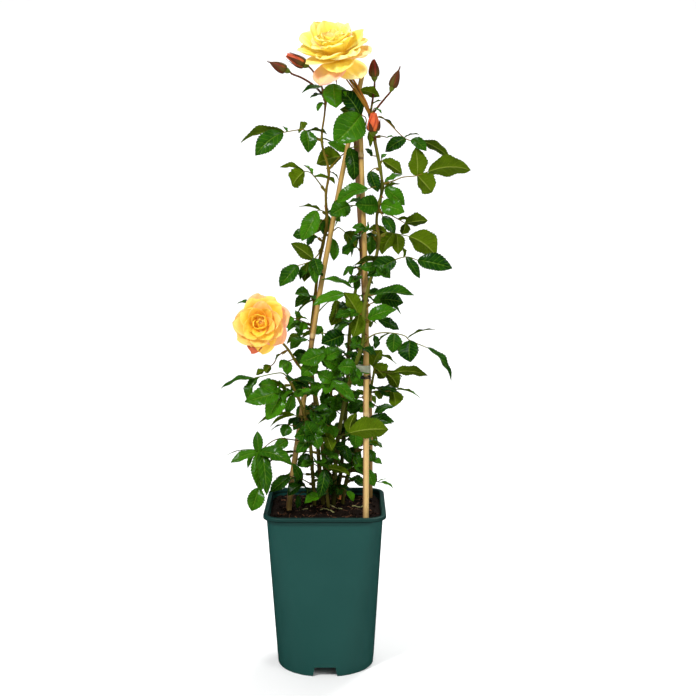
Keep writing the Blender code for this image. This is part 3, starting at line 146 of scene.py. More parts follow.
def tube(points, radii, sides=10, look=(0, 0, 0), lobes=0, twist=0, flat=1):
    # circles square to the path, their first spoke kept square to the axis that the path follows least;
    # lobes and twist make a rope: radius * (1 + depth * cos(lobes * angle - twist * share))
    points = np.asarray(points, float)
    ways = unit(np.gradient(points, axis=0))
    axis = np.eye(3)[np.abs(ways).max(0).argmin()]
    spoke = unit(np.cross(ways, axis))
    other = np.cross(spoke, ways)
    angle = circle(sides)[None, :]
    share = np.linspace(0, 1, len(points))[:, None]
    reach = np.broadcast_to(radii, len(points))[:, None]
    reach = reach * (1 + (ropeDepth * np.cos(lobes * angle - twist * share) if lobes else 0 * angle))
    rings = points[:, None] + reach[..., None] * (
        np.cos(angle)[..., None] * spoke[:, None] + flat * np.sin(angle)[..., None] * other[:, None]
    )
    return skin(rings, joined(np.cos(angle), share, 0), look, poles=(points[0], points[-1]))


def blade(middle, half, across, normal, columns, thickness, bend, look, seed, rib=0):
    # A thin closed blade on a mid line: point = middle + across * c * half + normal * (bend +- flesh),
    # flesh = thickness / 2 * (1 - c ^ 4); rib sinks the upper face a little and thickens the lower one
    c = np.asarray(columns, float)[None, :]
    share = np.linspace(0, 1, len(middle))[:, None]
    flesh = thickness / 2 * (1 - np.abs(c) ** 4)
    ridge = rib * (1 - share) * np.exp(-(c / 0.10) ** 2)
    sheet = middle[:, None] + across[:, None] * (c * half[:, None])[..., None]
    top = sheet + normal[:, None] * (bend + flesh - 0.35 * ridge)[..., None]
    under = sheet + normal[:, None] * (bend - flesh - ridge)[..., None]
    return twoFaced(top, under, c[0], share, seed, look)


def makePiece(name, sheets, material, nodes=(), sharp=60):
    # joins skins into one mesh with its guides as attributes, and hands it to the frame;
    # edges that turn by more than sharp degrees stay sharp

    def gathered(part):
        return np.concatenate([sheet[part] for sheet in sheets]).astype(np.float32).ravel()

    starts = np.cumsum([0] + [len(sheet["points"]) for sheet in sheets])
    quads = np.concatenate([sheet["quads"] + at for sheet, at in zip(sheets, starts)])
    tris = np.concatenate([sheet["tris"] + at for sheet, at in zip(sheets, starts)])
    corners = np.concatenate([quads.ravel(), tris.ravel()]).astype(np.int32)
    begins = np.concatenate([np.arange(len(quads)) * 4, len(quads) * 4 + np.arange(len(tris)) * 3])
    mesh = bpy.data.meshes.new(name)
    mesh.vertices.add(int(starts[-1]))
    mesh.vertices.foreach_set("co", gathered("points"))
    mesh.loops.add(len(corners))
    mesh.loops.foreach_set("vertex_index", corners)
    mesh.polygons.add(len(begins))
    mesh.polygons.foreach_set("loop_start", begins.astype(np.int32))
    mesh.update(calc_edges=True)
    for part in ("spot", "look"):
        mesh.attributes.new(part, "FLOAT_VECTOR", "POINT").data.foreach_set("vector", gathered(part))
    upper = [sheet["upper"][:len(sheet["quads"])] for sheet in sheets]
    upper += [sheet["upper"][len(sheet["quads"]):] for sheet in sheets]
    upper = np.concatenate(upper).astype(np.float32)
    mesh.attributes.new("upper", "FLOAT", "FACE").data.foreach_set("value", upper)
    mesh.shade_smooth()
    mesh.set_sharp_from_angle(angle=math.radians(sharp))
    mesh.materials.append(material)
    made = addObject(name, mesh)
    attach(made, "root")
    if nodes:
        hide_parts(*nodes)
    print(f"{name}: {len(mesh.polygons)} faces")
    return made


def addObject(name, data):
    made = bpy.data.objects.new(name, data)
    bpy.context.scene.collection.objects.link(made)
    return made


def squareWays(up):
    # a direction with two others square to it and to each other, the first of them to the right
    right = unit(np.cross(up, [0, -1, 0.2]))
    right = right if right[0] > 0 else -right
    return up, right, np.cross(up, right)


def aroundAxis(frameOf, angle, out, up):
    # point = base + (right * cos(angle) + forward * sin(angle)) * out + axis * up
    base, axis, right, forward = frameOf[:4]
    spoke = np.cos(angle)[..., None] * right + np.sin(angle)[..., None] * forward
    return base + spoke * out[..., None] + axis * up[..., None]


# Shader maths

def operator(operation, reflected=False):
    # a method that adds a Math node; reflected, the other value comes first
    def apply(self, other):
        return self.maths(operation, *((other, self) if reflected else (self, other)))
    return apply


class Flow:
    # one output socket; + - * on it, from either side, add Math nodes, and node() adds any other kind
    __add__, __radd__ = operator("ADD"), operator("ADD", True)
    __sub__, __rsub__ = operator("SUBTRACT"), operator("SUBTRACT", True)
    __mul__, __rmul__ = operator("MULTIPLY"), operator("MULTIPLY", True)

    def __init__(self, tree, socket=None):
        self.tree = tree
        self.socket = socket

    def node(self, kind, settings=None, sockets=None, out=0):
        made = self.tree.nodes.new("ShaderNode" + kind)
        for name, value in (settings or {}).items():
            setattr(made, name, value)
        for name, value in (sockets or {}).items():
            if isinstance(value, Flow):
                self.tree.links.new(value.socket, made.inputs[name])
            else:
                made.inputs[name].default_value = value
        return Flow(self.tree, made.outputs[out])

    def maths(self, operation, *values, clamp=False):
        return self.node("Math", {"operation": operation, "use_clamp": clamp}, dict(enumerate(values)))

    def clampedSum(self, other):
        return self.maths("ADD", self, other, clamp=True)

    def size(self):
        return self.maths("ABSOLUTE", self)

    def wave(self):
        # the distance to the nearest whole number, 0 on it and 1 half way between
        return (self.maths("FRACT", self) - 0.5).size() * -2 + 1

    def between(self, low, high):
        # 0 below low, 1 above high, smooth in between
        return self.node("MapRange", {"interpolation_type": "SMOOTHSTEP"},
                         {"Value": self, "From Min": low, "From Max": high})

    def blend(self, a, b):
        # colour a where this value is 0, b where it is 1
        colours = [shade if isinstance(shade, Flow) else (*shade, 1) for shade in (a, b)]
        return self.node("Mix", {"data_type": "RGBA"}, {0: self, 6: colours[0], 7: colours[1]}, out=2)

    def noise(self, scale, detail=3.0, stretch=None):
        # grey clouds from 0 to 1 at this place, stretched where the grain runs one way
        where = self.node("Mapping", {}, {"Vector": self, "Scale": stretch}) if stretch else self
        return self.node("TexNoise", {}, {"Vector": where, "Scale": scale, "Detail": detail}, out="Fac")

    def bump(self, strength, distance):
        return self.node("Bump", {}, {"Strength": strength, "Distance": distance, "Height": self})

    def parts(self):
        # a vector's three numbers
        split = self.node("SeparateXYZ", {}, {"Vector": self}).socket.node
        return [Flow(self.tree, output) for output in split.outputs]

    def guide(self, name):
        # the three numbers that the mesh carries under this name for each point
        return self.node("Attribute", {"attribute_name": name}, out="Vector").parts()

    def upperFace(self):
        # 1 on a blade's upper face, 0 on its lower face
        return self.node("Attribute", {"attribute_name": "upper"}, out="Fac")


def coated(colour, *coats):
    # coats laid over a colour in turn, each a mask (0 bare, 1 covered) and what it is painted with
    for mask, shade in coats:
        colour = mask.blend(colour, shade)
    return colour


def newMaterial(name, constants):
    # a Principled material, a Flow to build on, the place on the object, and a function that plugs inputs
    made = bpy.data.materials.new(name)
    made.use_nodes = True
    tree = made.node_tree
    shader = tree.nodes["Principled BSDF"]
    for socket, value in constants.items():
        shader.inputs[socket].default_value = value

    def plug(inputs):
        for socket, flow in inputs.items():
            tree.links.new(flow.socket, shader.inputs[socket])
    flow = Flow(tree)
    return made, flow, flow.node("TexCoord", out="Object"), plug


# The plant's places

# a route's rows end in the stem's radius
leftRoute = [
    (-4, 205, 12, 3.4), (-4, 248, 12, 3.4), (-8, 285, 10, 3.2), (-11, 330, 10, 3.0),
    (-12, 370, 10, 2.9), (-16, 410, 11, 2.8), (-20, 450, 12, 2.7), (-21, 490, 13, 2.6),
    (-18, 530, 13, 2.5), (-14, 565, 11, 2.4), (-10, 600, 10, 2.4), (-3, 635, 9, 2.3),
    (3, 665, 7, 2.2), (2, 690, 3, 2.0), (2, 712, 0, 1.9), (6, 735, -2, 2.0), (4, 752, -2, 1.8),
    (-1, 768, -1, 1.8), (-4, 785, 0, 1.9), (-3, 803, 0, 1.5), (0, 822, 0, 1.4), (2, 845, 0, 1.5),
]
rightRoute = [
    (12, 205, 8, 3.6), (12, 246, 8, 3.6), (15, 300, 5, 3.4), (19, 345, -2, 3.2),
    (25, 380, -12, 3.1), (31, 410, -22, 3.0), (40, 440, -36, 3.0), (48, 464, -46, 2.9),
    (54, 482, -51, 2.8), (57, 505, -52, 2.8), (57, 530, -51, 2.7), (60, 552, -49, 2.6),
    (65, 575, -45, 2.5), (72, 600, -39, 2.5), (77, 625, -34, 2.4), (79, 645, -29, 2.4),
    (76, 665, -25, 2.2), (77, 682, -20, 2.1), (82, 705, -15, 2.2), (84, 722, -13, 2.2),
    (81, 745, -16, 2.2), (76, 770, -20, 2.4), (72, 790, -22, 2.6), (69, 808, -23, 2.4),
    (65, 824, -24, 2.0),
]
middleRoute = [
    (18, 205, 30, 3.0), (18, 254, 30, 3.0), (24, 300, 30, 2.9), (28, 350, 28, 2.8),
    (32, 400, 24, 2.7), (34, 450, 20, 2.6), (36, 500, 15, 2.4), (42, 550, 9, 2.3),
    (50, 590, 4, 2.2), (57, 620, 2, 2.1), (57, 650, 1, 2.0), (57, 690, 1, 1.9),
    (55, 730, 0, 1.8), (54, 770, 0, 1.7), (53, 806, 1, 1.6),
]
lowLeftRoute = [
    (-17, 205, -3, 2.8), (-17, 242, -3, 2.8), (-18, 270, -8, 2.7), (-20, 300, -18, 2.6),
    (-22, 330, -28, 2.5), (-26, 360, -38, 2.4), (-34, 390, -46, 2.2), (-44, 415, -50, 2.0),
    (-54, 434, -50, 1.7),
]
lowRightRoute = [
    (26, 205, 14, 2.8), (26, 248, 14, 2.8), (32, 280, 12, 2.7), (44, 320, 8, 2.5),
    (56, 360, 2, 2.3), (64, 400, -6, 2.1), (70, 430, -14, 1.9), (74, 452, -20, 1.6),
]
bloomStemRoute = [
    (4, 205, -10, 2.6), (4, 242, -10, 2.6), (-1, 290, -13, 2.5), (-5, 330, -17, 2.4),
    (-7, 370, -23, 2.3), (-14, 408, -30, 2.2), (-25, 436, -36, 2.1), (-36, 451, -39, 2.0),
    (-43, 460, -40, 1.9), (-52, 475, -40, 1.8), (-62, 488, -38, 1.8), (-74, 500, -34, 1.8),
    (-84, 508, -36, 2.0),
]
backRoute = [
    (2, 205, 54, 2.8), (2, 264, 54, 2.8), (4, 304, 62, 2.6), (6, 350, 66, 2.4),
    (8, 400, 66, 2.2), (12, 450, 60, 2.0), (20, 500, 52, 1.8), (28, 545, 44, 1.5),
]

# a leaf is its stalk's rows, its leaflets (how far along the stalk, tip, turn of the face in degrees,
# width), and for some, how fresh it is; turned 0 the glossy face is to the eye, past 90 the olive one
leftLeaves = [
    # the long leaf that reaches left below the buds
    ([(-4, 785, 0), (-17, 791, -4), (-30, 801, -6), (-44, 800, -9), (-61, 797, -12)],
     [(1, -101, 764, -20, 15, 27), (0.96, -122, 782, -2, 118, 22), (0.9, -61, 806, -4, 60, 7),
      (0.46, -24, 768, -14, 12, 23), (0.44, 4, 794, 8, 100, 18), (0.55, -35, 813, 14, 140, 18)]),
    # the olive leaf half way up on the left
    ([(1, 712, 0), (-8, 725, -6), (-20, 739, -11), (-31, 742, -13)],
     [(1, -66, 747, -16, 105, 18), (0.97, -47, 720, -30, 150, 28), (0.7, -31, 750, -2, 80, 12),
      (0.6, 15, 723, 13, 97, 18)], 0.95),
    ([(6, 742, -2), (10, 740, 2)], [(1, 20, 729, 10, 95, 9)]),
    ([(6, 744, -2), (20, 760, 12), (33, 771, 14)],
     [(0.7, -12, 752, 22, 150, 30), (1, 4, 783, 10, 20, 14), (0.9, -9, 789, 20, 95, 12)]),
    # small leaves below the fork of the buds
    ([(2, 843, 0), (0, 856, -8), (13, 866, -14)], [(1, 17, 832, -24, 15, 33)], 0.75),
    ([(2, 842, 0), (-3, 852, -4), (-4, 862, -7)], [(1, -33, 853, -14, 62, 14)], 0.1),
    ([(2, 840, 0), (-3, 851, -5)], [(1, -21, 846, -14, 64, 10)], 0.1),
    ([(1, 836, 0), (-3, 840, -3)], [(1, -10, 827, -8, 40, 9)]),
    # the glossy leaf beside the left cane's upper half
    ([(3, 678, 5), (-5, 685, -4), (-12, 684, -9)],
     [(1, -34, 640, -16, 12, 25), (0.7, -38, 690, -4, 100, 16)], 0.55),
    ([(2, 672, 6), (-3, 671, 11)], [(1, -17, 650, 18, 150, 22)]),
    ([(-4, 632, 9), (-11, 619, 0), (-22, 610, -9), (-40, 604, -14)],
     [(1, -67, 573, -24, 20, 23), (0.7, -31, 580, -18, 155, 16), (0.5, -50, 637, 4, 150, 22),
      (0.46, -8, 589, -20, 30, 18), (0.6, -14, 577, -20, 25, 15)]),
    ([(1, 650, 8), (6, 648, 9), (12, 643, 8)], [(1, 13, 611, 8, 15, 14)]),
    ([(2, 655, 8), (12, 655, 6), (20, 660, 5), (30, 653, 4)],
     [(1, 45, 632, 2, 160, 22), (0.97, 39, 616, -8, 70, 12)]),
    ([(-15, 556, 11), (-17, 553, 5)], [(1, -43, 528, -8, 98, 13)]),
    # the crowd beside the lower bloom
    ([(-19, 515, 13), (-32, 521, 1), (-48, 527, -8)],
     [(1, -58, 520, -14, 20, 14), (0.85, -25, 524, -12, 92, 12), (0.7, -44, 538, 2, 40, 11),
      (0.5, -36, 508, -2, 30, 14), (0.65, -56, 505, -8, 60, 12)]),
    ([(-19, 505, 13), (-15, 503, 12)], [(1, -4, 514, 14, 20, 14)]),
    ([(-21, 490, 13), (-26, 494, 4)], [(1, -52, 479, -12, 52, 21)]),
    ([(-18, 525, 13), (-6, 540, 6), (6, 551, 2), (17, 553, 0)], [(1, 9, 515, -6, 150, 27)]),
    ([(-13, 385, 10), (-24, 392, 6)], [(1, -44, 380, 6, 15, 18)]),
    ([(-9, 300, 10), (-18, 306, 8)], [(1, -42, 312, 8, 15, 20)]),
    # leaves inside the crowd and behind it
    ([(-17, 418, 11), (-24, 424, 16), (-30, 428, 22)],
     [(1, -52, 419, 26, 25, 20), (0.8, -34, 405, 20, 40, 18), (0.8, -26, 447, 24, 15, 18)]),
    ([(-13, 385, 10), (-6, 392, 18), (0, 398, 26)],
     [(1, 20, 402, 34, 30, 18), (0.75, 6, 416, 24, 20, 17), (0.75, 4, 380, 28, 60, 16)]),
    ([(-20, 452, 12), (-12, 462, 20), (-4, 468, 28)],
     [(1, 16, 470, 36, 35, 20), (0.7, -2, 486, 24, 15, 17), (0.7, 4, 450, 30, 50, 18)]),
    ([(-14, 400, 10), (-22, 396, 20), (-28, 392, 28)],
     [(1, -36, 374, 36, 40, 16), (0.7, -12, 378, 26, 30, 14)]),
    ([(2, 690, 3), (4, 685, 10), (4, 678, 16)], [(1, -3, 650, 22, 30, 17), (0.6, 23, 668, 18, 40, 14)]),
]
rightLeaves = [
    # round the foot of the top bloom's stalk
    ([(62, 832, -25), (56, 846, -19), (52, 857, -16)], [(1, 80, 848, -14, 140, 18)], 1.0),
    ([(65, 824, -24), (70, 838, -18)], [(1, 83, 842, -16, 95, 8)]),
    ([(66, 820, -24), (72, 832, -24)], [(1, 83, 824, -26, 70, 8)]),
    # the leaf that arches over to the far right
    ([(69, 808, -23), (79, 820, -18), (92, 812, -14), (118, 788, -8), (143, 785, -6)],
     [(1, 181, 762, 2, 138, 18), (0.82, 148, 770, -16, 25, 17), (0.72, 88, 769, -14, 15, 18),
      (0.7, 138, 794, 4, 95, 8), (0.16, 103, 801, -2, 100, 11)]),
    ([(70, 800, -22), (64, 798, -26)], [(1, 66, 776, -28, 140, 10)]),
    ([(72, 790, -22), (82, 792, -24), (91, 790, -25)], [(1, 100, 791, -26, 80, 7)]),
    ([(80, 750, -16), (83, 759, -16)], [(1, 91, 766, -16, 60, 9)]),
    ([(80, 748, -16), (84, 757, -18)], [(1, 113, 738, -26, 148, 19)]),
    ([(77, 763, -19), (69, 764, -18)], [(1, 58, 774, -25, 40, 9)]),
    # the big olive leaf on the right
    ([(84, 722, -13), (101, 728, -17), (114, 733, -19), (133, 735, -20), (151, 741, -23)],
     [(1, 213, 743, -34, 140, 36), (0.76, 132, 776, -8, 160, 28), (0.76, 157, 711, -32, 152, 31)]),
    ([(84, 722, -13), (88, 726, -12)], [(1, 114, 737, -8, 60, 14)]),
    ([(82, 742, -15), (74, 746, -15), (66, 741, -15)], [(1, 78, 711, -22, 15, 18)]),
    ([(83, 715, -13), (89, 717, -19)], [(1, 117, 692, -28, 18, 21), (0.6, 111, 723, -14, 120, 10)]),
    ([(80, 698, -16), (83, 694, -20)], [(1, 117, 682, -34, 5, 25)]),
    ([(80, 696, -16), (77, 693, -22)], [(1, 44, 694, -40, 5, 27)], 0.1),
    ([(83, 716, -13), (73, 719, -24), (63, 716, -32)], [(1, 17, 695, -36, 38, 23)], 0.6),
    ([(79, 690, -18), (81, 684, -22), (85, 676, -24)], [(1, 103, 651, -28, 8, 16)]),
    ([(77, 683, -20), (92, 680, -14), (106, 673, -11), (118, 666, -11)],
     [(1, 151, 670, -15, 142, 22), (0.72, 129, 667, 0, 112, 18), (1, 113, 650, -14, 150, 16)]),
    ([(79, 645, -29), (90, 652, -26), (104, 651, -24), (124, 647, -21)],
     [(1, 164, 618, -24, 150, 38), (0.3, 63, 657, -12, 130, 17), (0.5, 84, 620, -14, 158, 27),
      (0.25, 67, 622, -12, 150, 15), (0.6, 108, 620, -10, 165, 20)]),
    ([(74, 610, -37), (88, 608, -39), (118, 617, -37), (137, 612, -34)],
     [(1, 188, 600, -48, 22, 26), (0.72, 140, 585, -44, 25, 14), (0.65, 113, 631, -26, 120, 10),
      (0.3, 41, 603, -60, 118, 18), (0.46, 62, 588, -58, 12, 25), (0.05, 37, 576, -62, 100, 13)], 0.1),
    ([(62, 562, -47), (68, 560, -50), (73, 561, -51)], [(1, 132, 560, -60, 58, 24)], 0.1),
    ([(58, 541, -50), (68, 548, -44), (82, 553, -40)],
     [(1, 116, 549, -40, 10, 22), (0.6, 94, 557, -28, 20, 15), (1, 113, 531, -34, 60, 9)]),
    ([(57, 528, -51), (64, 526, -54)], [(1, 106, 539, -60, 25, 22)], 0.55),
    ([(57, 518, -52), (68, 524, -47), (79, 525, -43)], [(1, 110, 509, -43, 28, 16)]),
    ([(57, 534, -51), (50, 531, -54)],
     [(1, 28, 565, -56, 150, 25), (1, 41, 498, -62, 150, 24), (0.8, 20, 532, -42, 40, 14)]),
    # the long arching leaf low on the right
    ([(55, 486, -51), (66, 498, -55), (80, 504, -58), (100, 504, -60), (118, 500, -60), (126, 493, -60),
      (152, 482, -60)],
     [(1, 188, 432, -66, 65, 20), (0.75, 127, 460, -66, -10, 28), (0.7, 164, 509, -50, 100, 13),
      (0.5, 100, 474, -64, 10, 22), (0.22, 74, 480, -60, 50, 14), (0.45, 78, 488, -50, 95, 8)]),
    ([(56, 492, -52), (50, 500, -48)], [(1, 44, 485, -50, 20, 15)]),
    # the front of the crowd, and the big olive leaf across the right cane
    ([(35, 425, -30), (38, 440, -46), (46, 452, -56)],
     [(1, 18, 452, -64, 10, 22), (1, 40, 430, -62, 20, 18)]),
    ([(30, 405, -21), (16, 420, -36), (10, 432, -44)],
     [(1, 45, 400, -56, 18, 16), (1, -12, 446, -50, 15, 20), (1, 0, 412, -50, 30, 20)]),
    ([(22, 358, -6), (8, 362, -24), (-2, 368, -34)],
     [(1, -20, 384, -42, 20, 18), (1, -12, 348, -44, 10, 20), (0.7, 14, 344, -30, 20, 18)]),
    ([(20, 350, -4), (28, 350, -42), (36, 353, -74)],
     [(1, 95, 358, -84, 148, 34), (1, 47, 384, -78, 150, 18)]),
    ([(18, 335, -1), (8, 348, -30), (0, 352, -42)], [(1, 10, 325, -46, 150, 20)]),
    ([(14, 290, 5), (14, 298, -14), (1, 299, -28)], [(1, 38, 287, -34, 130, 17)]),
    ([(13, 282, 6), (4, 296, -22), (0, 297, -34)], [(1, -10, 252, -44, 0, 17)]),
    ([(12, 262, 7), (24, 268, -2), (33, 263, -8)], [(1, 42, 247, -12, 20, 10)]),
    ([(16, 312, 3), (24, 330, -8), (30, 334, -12)], [(1, 37, 306, -14, 10, 13), (1, 13, 331, -18, 10, 13)]),
    ([(35, 425, -27), (40, 436, -20), (44, 442, -14)],
     [(1, 57, 424, -8, 25, 17), (0.8, 30, 456, -16, 60, 16), (0.6, 57, 454, -10, 20, 15)]),
    ([(77, 640, -30), (72, 646, -26), (68, 648, -22)], [(1, 66, 619, -18, 20, 14)]),
]
middleLeaves = [
    # the big veined leaf below the bloom, in front of where the canes meet
    ([(53, 804, 1), (60, 811, -4), (59, 819, -17), (52, 822, -21)], [(1, 14, 781, -34, 5, 43)], 0.45),
    ([(53, 804, 1), (57, 812, -8), (52, 822, -18)],
     [(1, 25, 858, -22, 15, 26), (1, 22, 830, -27, 140, 16)], 0.0),
    ([(54, 776, 0), (46, 777, -5), (36, 775, -8)], [(1, 42, 728, -6, 20, 25)], 0.15),
    ([(57, 690, 1), (46, 692, -4), (36, 692, -10)],
     [(1, 8, 677, -20, 8, 26), (0.7, 15, 661, -14, 80, 13)], 0.4),
    ([(50, 588, 4), (48, 584, -6)], [(1, 34, 579, -14, 30, 13), (1, 44, 567, -12, 20, 11)]),
    ([(46, 570, 6), (44, 572, -4), (39, 572, -12)], [(1, -6, 583, -20, 60, 15)]),
    ([(43, 555, 8), (36, 560, -6), (29, 562, -14)], [(1, -18, 545, -26, 38, 19)]),
    ([(36, 498, 15), (34, 501, -4), (27, 501, -16)],
     [(1, -6, 488, -30, 5, 26), (0.85, 5, 496, -8, 80, 12)], 0.1),
    ([(34, 440, 21), (30, 446, 8), (22, 452, 2)],
     [(1, -4, 464, -6, 15, 22), (0.7, 8, 436, 4, 30, 20), (0.9, 14, 474, 2, 20, 18)]),
    ([(30, 375, 26), (20, 384, 14), (12, 390, 8)], [(0.8, 20, 412, 4, 15, 20), (1, 2, 366, -2, 10, 20)]),
    ([(26, 325, 29), (18, 332, 20), (12, 338, 14)], [(1, -2, 318, 6, 15, 20), (0.7, 38, 314, 18, 30, 16)]),
    # leaves inside the crowd
    ([(32, 400, 24), (38, 404, 26), (44, 402, 28)],
     [(1, 58, 384, 30, 25, 16), (0.7, 38, 381, 24, 20, 15), (0.7, 54, 414, 30, 60, 14)]),
    ([(35, 470, 18), (40, 478, 24), (44, 482, 30)],
     [(1, 62, 474, 36, 40, 18), (0.7, 46, 503, 30, 20, 18), (0.6, 28, 488, 22, 35, 16)]),
    ([(33, 430, 21), (24, 436, 26), (16, 438, 30)],
     [(1, -2, 430, 34, 30, 18), (0.7, 20, 456, 28, 20, 16), (0.6, 22, 418, 26, 40, 16)]),
    ([(24, 300, 30), (18, 312, 36), (12, 320, 40)],
     [(1, -8, 326, 44, 30, 17), (0.7, 8, 342, 38, 20, 16), (0.7, 22, 292, 38, 60, 15)]),
]
lowLeftLeaves = [
    # the leaf that reaches furthest left
    ([(-52, 430, -50), (-62, 443, -52), (-77, 443, -56), (-107, 436, -62)],
     [(1, -156, 420, -66, 72, 20), (0.85, -117, 403, -70, 55, 20)]),
    ([(-40, 407, -49), (-52, 413, -54), (-64, 416, -58)],
     [(1, -121, 400, -82, 22, 27), (0.95, -88, 372, -74, 0, 26), (0.7, -91, 430, -54, 112, 18),
      (0.4, -58, 382, -52, 30, 16)], 0.55),
    ([(-30, 376, -43), (-46, 380, -52)], [(1, -101, 367, -68, 94, 17), (1, -84, 361, -60, 112, 12)]),
    ([(-25, 353, -36), (-42, 362, -48), (-58, 366, -54)],
     [(1, -64, 347, -62, 10, 17), (1, -82, 356, -58, 80, 7)]),
    # the big leaf that hangs over the pot's left edge
    ([(-22, 338, -31), (-45, 342, -46), (-74, 343, -60), (-101, 323, -66)],
     [(1, -102, 356, -60, 0, 14), (1, -143, 307, -78, 35, 16), (0.97, -148, 319, -58, 92, 10),
      (0.98, -50, 303, -86, 32, 24), (0.96, -98, 262, -82, 10, 25), (0.94, -89, 256, -92, 15, 20),
      (0.97, -117, 298, -56, 60, 12), (0.45, -78, 328, -64, 10, 16)], 0.4),
    ([(-92, 330, -64), (-103, 300, -62), (-101, 268, -64)], [(1, -112, 232, -72, 8, 24)]),
    ([(-18, 272, -9), (-36, 282, -30), (-54, 286, -46)],
     [(1, -84, 261, -60, 25, 19), (1, -76, 283, -50, 95, 10), (0.6, -50, 307, -52, 20, 13)]),
    ([(-23, 345, -33), (-18, 350, -50)],
     [(1, -47, 347, -64, 15, 25), (1, -30, 372, -60, 10, 22), (1, -44, 322, -58, 25, 18),
      (1, -10, 328, -60, 10, 18)]),
    ([(-20, 303, -19), (-22, 311, -26)], [(1, -43, 303, -34, 15, 20)]),
    ([(-17, 252, -5), (-32, 262, -20), (-42, 256, -30)], [(1, -43, 236, -34, 30, 10)]),
    ([(-17, 260, -6), (-12, 262, -24), (-8, 256, -34)], [(1, -32, 244, -42, 30, 15)]),
]
lowRightLeaves = [
    ([(73, 446, -18), (86, 446, -26), (100, 444, -32)],
     [(1, 153, 440, -42, 132, 20), (0.6, 109, 421, -36, 148, 22), (0.95, 115, 437, -24, 80, 8)]),
    ([(74, 452, -20), (71, 454, -23)], [(1, 84, 479, -28, 150, 23), (1, 89, 436, -30, 145, 26)]),
    ([(68, 415, -10), (85, 416, -16), (98, 417, -20), (106, 419, -22)],
     [(1, 142, 406, -28, 96, 16), (0.85, 104, 393, -30, 158, 22), (0.45, 80, 404, -20, 140, 18)]),
    ([(64, 398, -6), (85, 392, -14), (103, 393, -20)], [(1, 73, 382, -32, 55, 17)]),
    ([(58, 368, 0), (64, 374, -8), (68, 377, -14)], [(1, 100, 367, -22, 35, 15)]),
    ([(48, 335, 6), (60, 338, 0), (67, 338, -6)], [(1, 84, 329, -10, 108, 12)]),
    ([(45, 325, 7), (58, 328, 4), (65, 327, 0)], [(1, 74, 310, -4, 20, 10)]),
    ([(36, 292, 11), (50, 300, 6), (64, 297, 2)], [(1, 74, 270, -2, 15, 14)]),
    ([(32, 280, 12), (60, 280, 16), (84, 277, 14)], [(1, 103, 267, 12, 60, 9), (0.9, 93, 282, 16, 85, 6)]),
    ([(42, 316, 9), (44, 319, 0)], [(1, 57, 289, -8, 15, 17)]),
    ([(53, 352, 4), (46, 355, -4)], [(1, 44, 329, -10, 20, 22)]),
    ([(62, 390, -4), (50, 398, -10)], [(1, 40, 382, -14, 20, 16)]),
]
bloomStemLeaves = [
    ([(-74, 500, -34), (-90, 528, -28), (-109, 550, -30)], [(1, -130, 548, -34, 60, 9)]),
    ([(-55, 479, -40), (-70, 470, -42), (-77, 458, -44), (-91, 448, -45)],
     [(0.75, -89, 444, -50, 150, 14), (1, -103, 441, -48, 140, 11), (0.3, -73, 464, -46, 95, 10)]),
    ([(-46, 465, -39), (-56, 462, -43)], [(1, -69, 452, -48, 20, 12), (0.9, -57, 441, -46, 10, 14)]),
    ([(-25, 437, -36), (-12, 458, -46), (0, 474, -50)],
     [(1, -38, 459, -56, 18, 25), (0.6, -36, 440, -50, 5, 22), (0.8, 22, 478, -40, 20, 20)]),
    ([(-7, 370, -23), (-13, 377, -24)], [(1, -35, 366, -22, 15, 20)]),
    ([(-14, 407, -30), (-17, 413, -37)], [(1, -50, 409, -40, 60, 22), (1, -2, 426, -44, 30, 20)]),
    ([(-6, 340, -18), (-5, 352, -16), (-2, 362, -14)],
     [(1, 14, 349, -14, 30, 17), (0.7, -15, 374, -8, 20, 15), (0.6, 3, 383, -14, 60, 13)]),
]


# Leaves

leaf = {
    "arch": 0.40,         # a blade rises off its chord by arch * length * share * (1 - share)
    "fold": 0.30,         # how far its halves rise to the sides
    "breadth": 1.06,      # of the widths in the tables
    "thickness": 0.00042,
    "rib": 0.0006,
    "toothPitch": 0.0040,
    "toothDepth": 0.085,  # of half the width
    "fullTeeth": 0.024,   # the width past which teeth grow no deeper
    "columns": [-1, -0.82, -0.56, -0.30, -0.10, 0, 0.10, 0.30, 0.56, 0.82, 1],
    "edgeWave": 0.085,    # of the width
    "twist": 0.5,
    "bow": 0.05,          # how far the midrib bends sideways at most, for its length
    "veins": 7,
    "veinSlant": 1.5,
    "veinRelief": 0.0006,
}


def leafWidth(share):
    # oval with a short point, fullest half way: share ^ 0.55 * (1 - share ^ 2.1), greatest value 1
    return share**0.55 * (1 - share**2.1) / 0.525


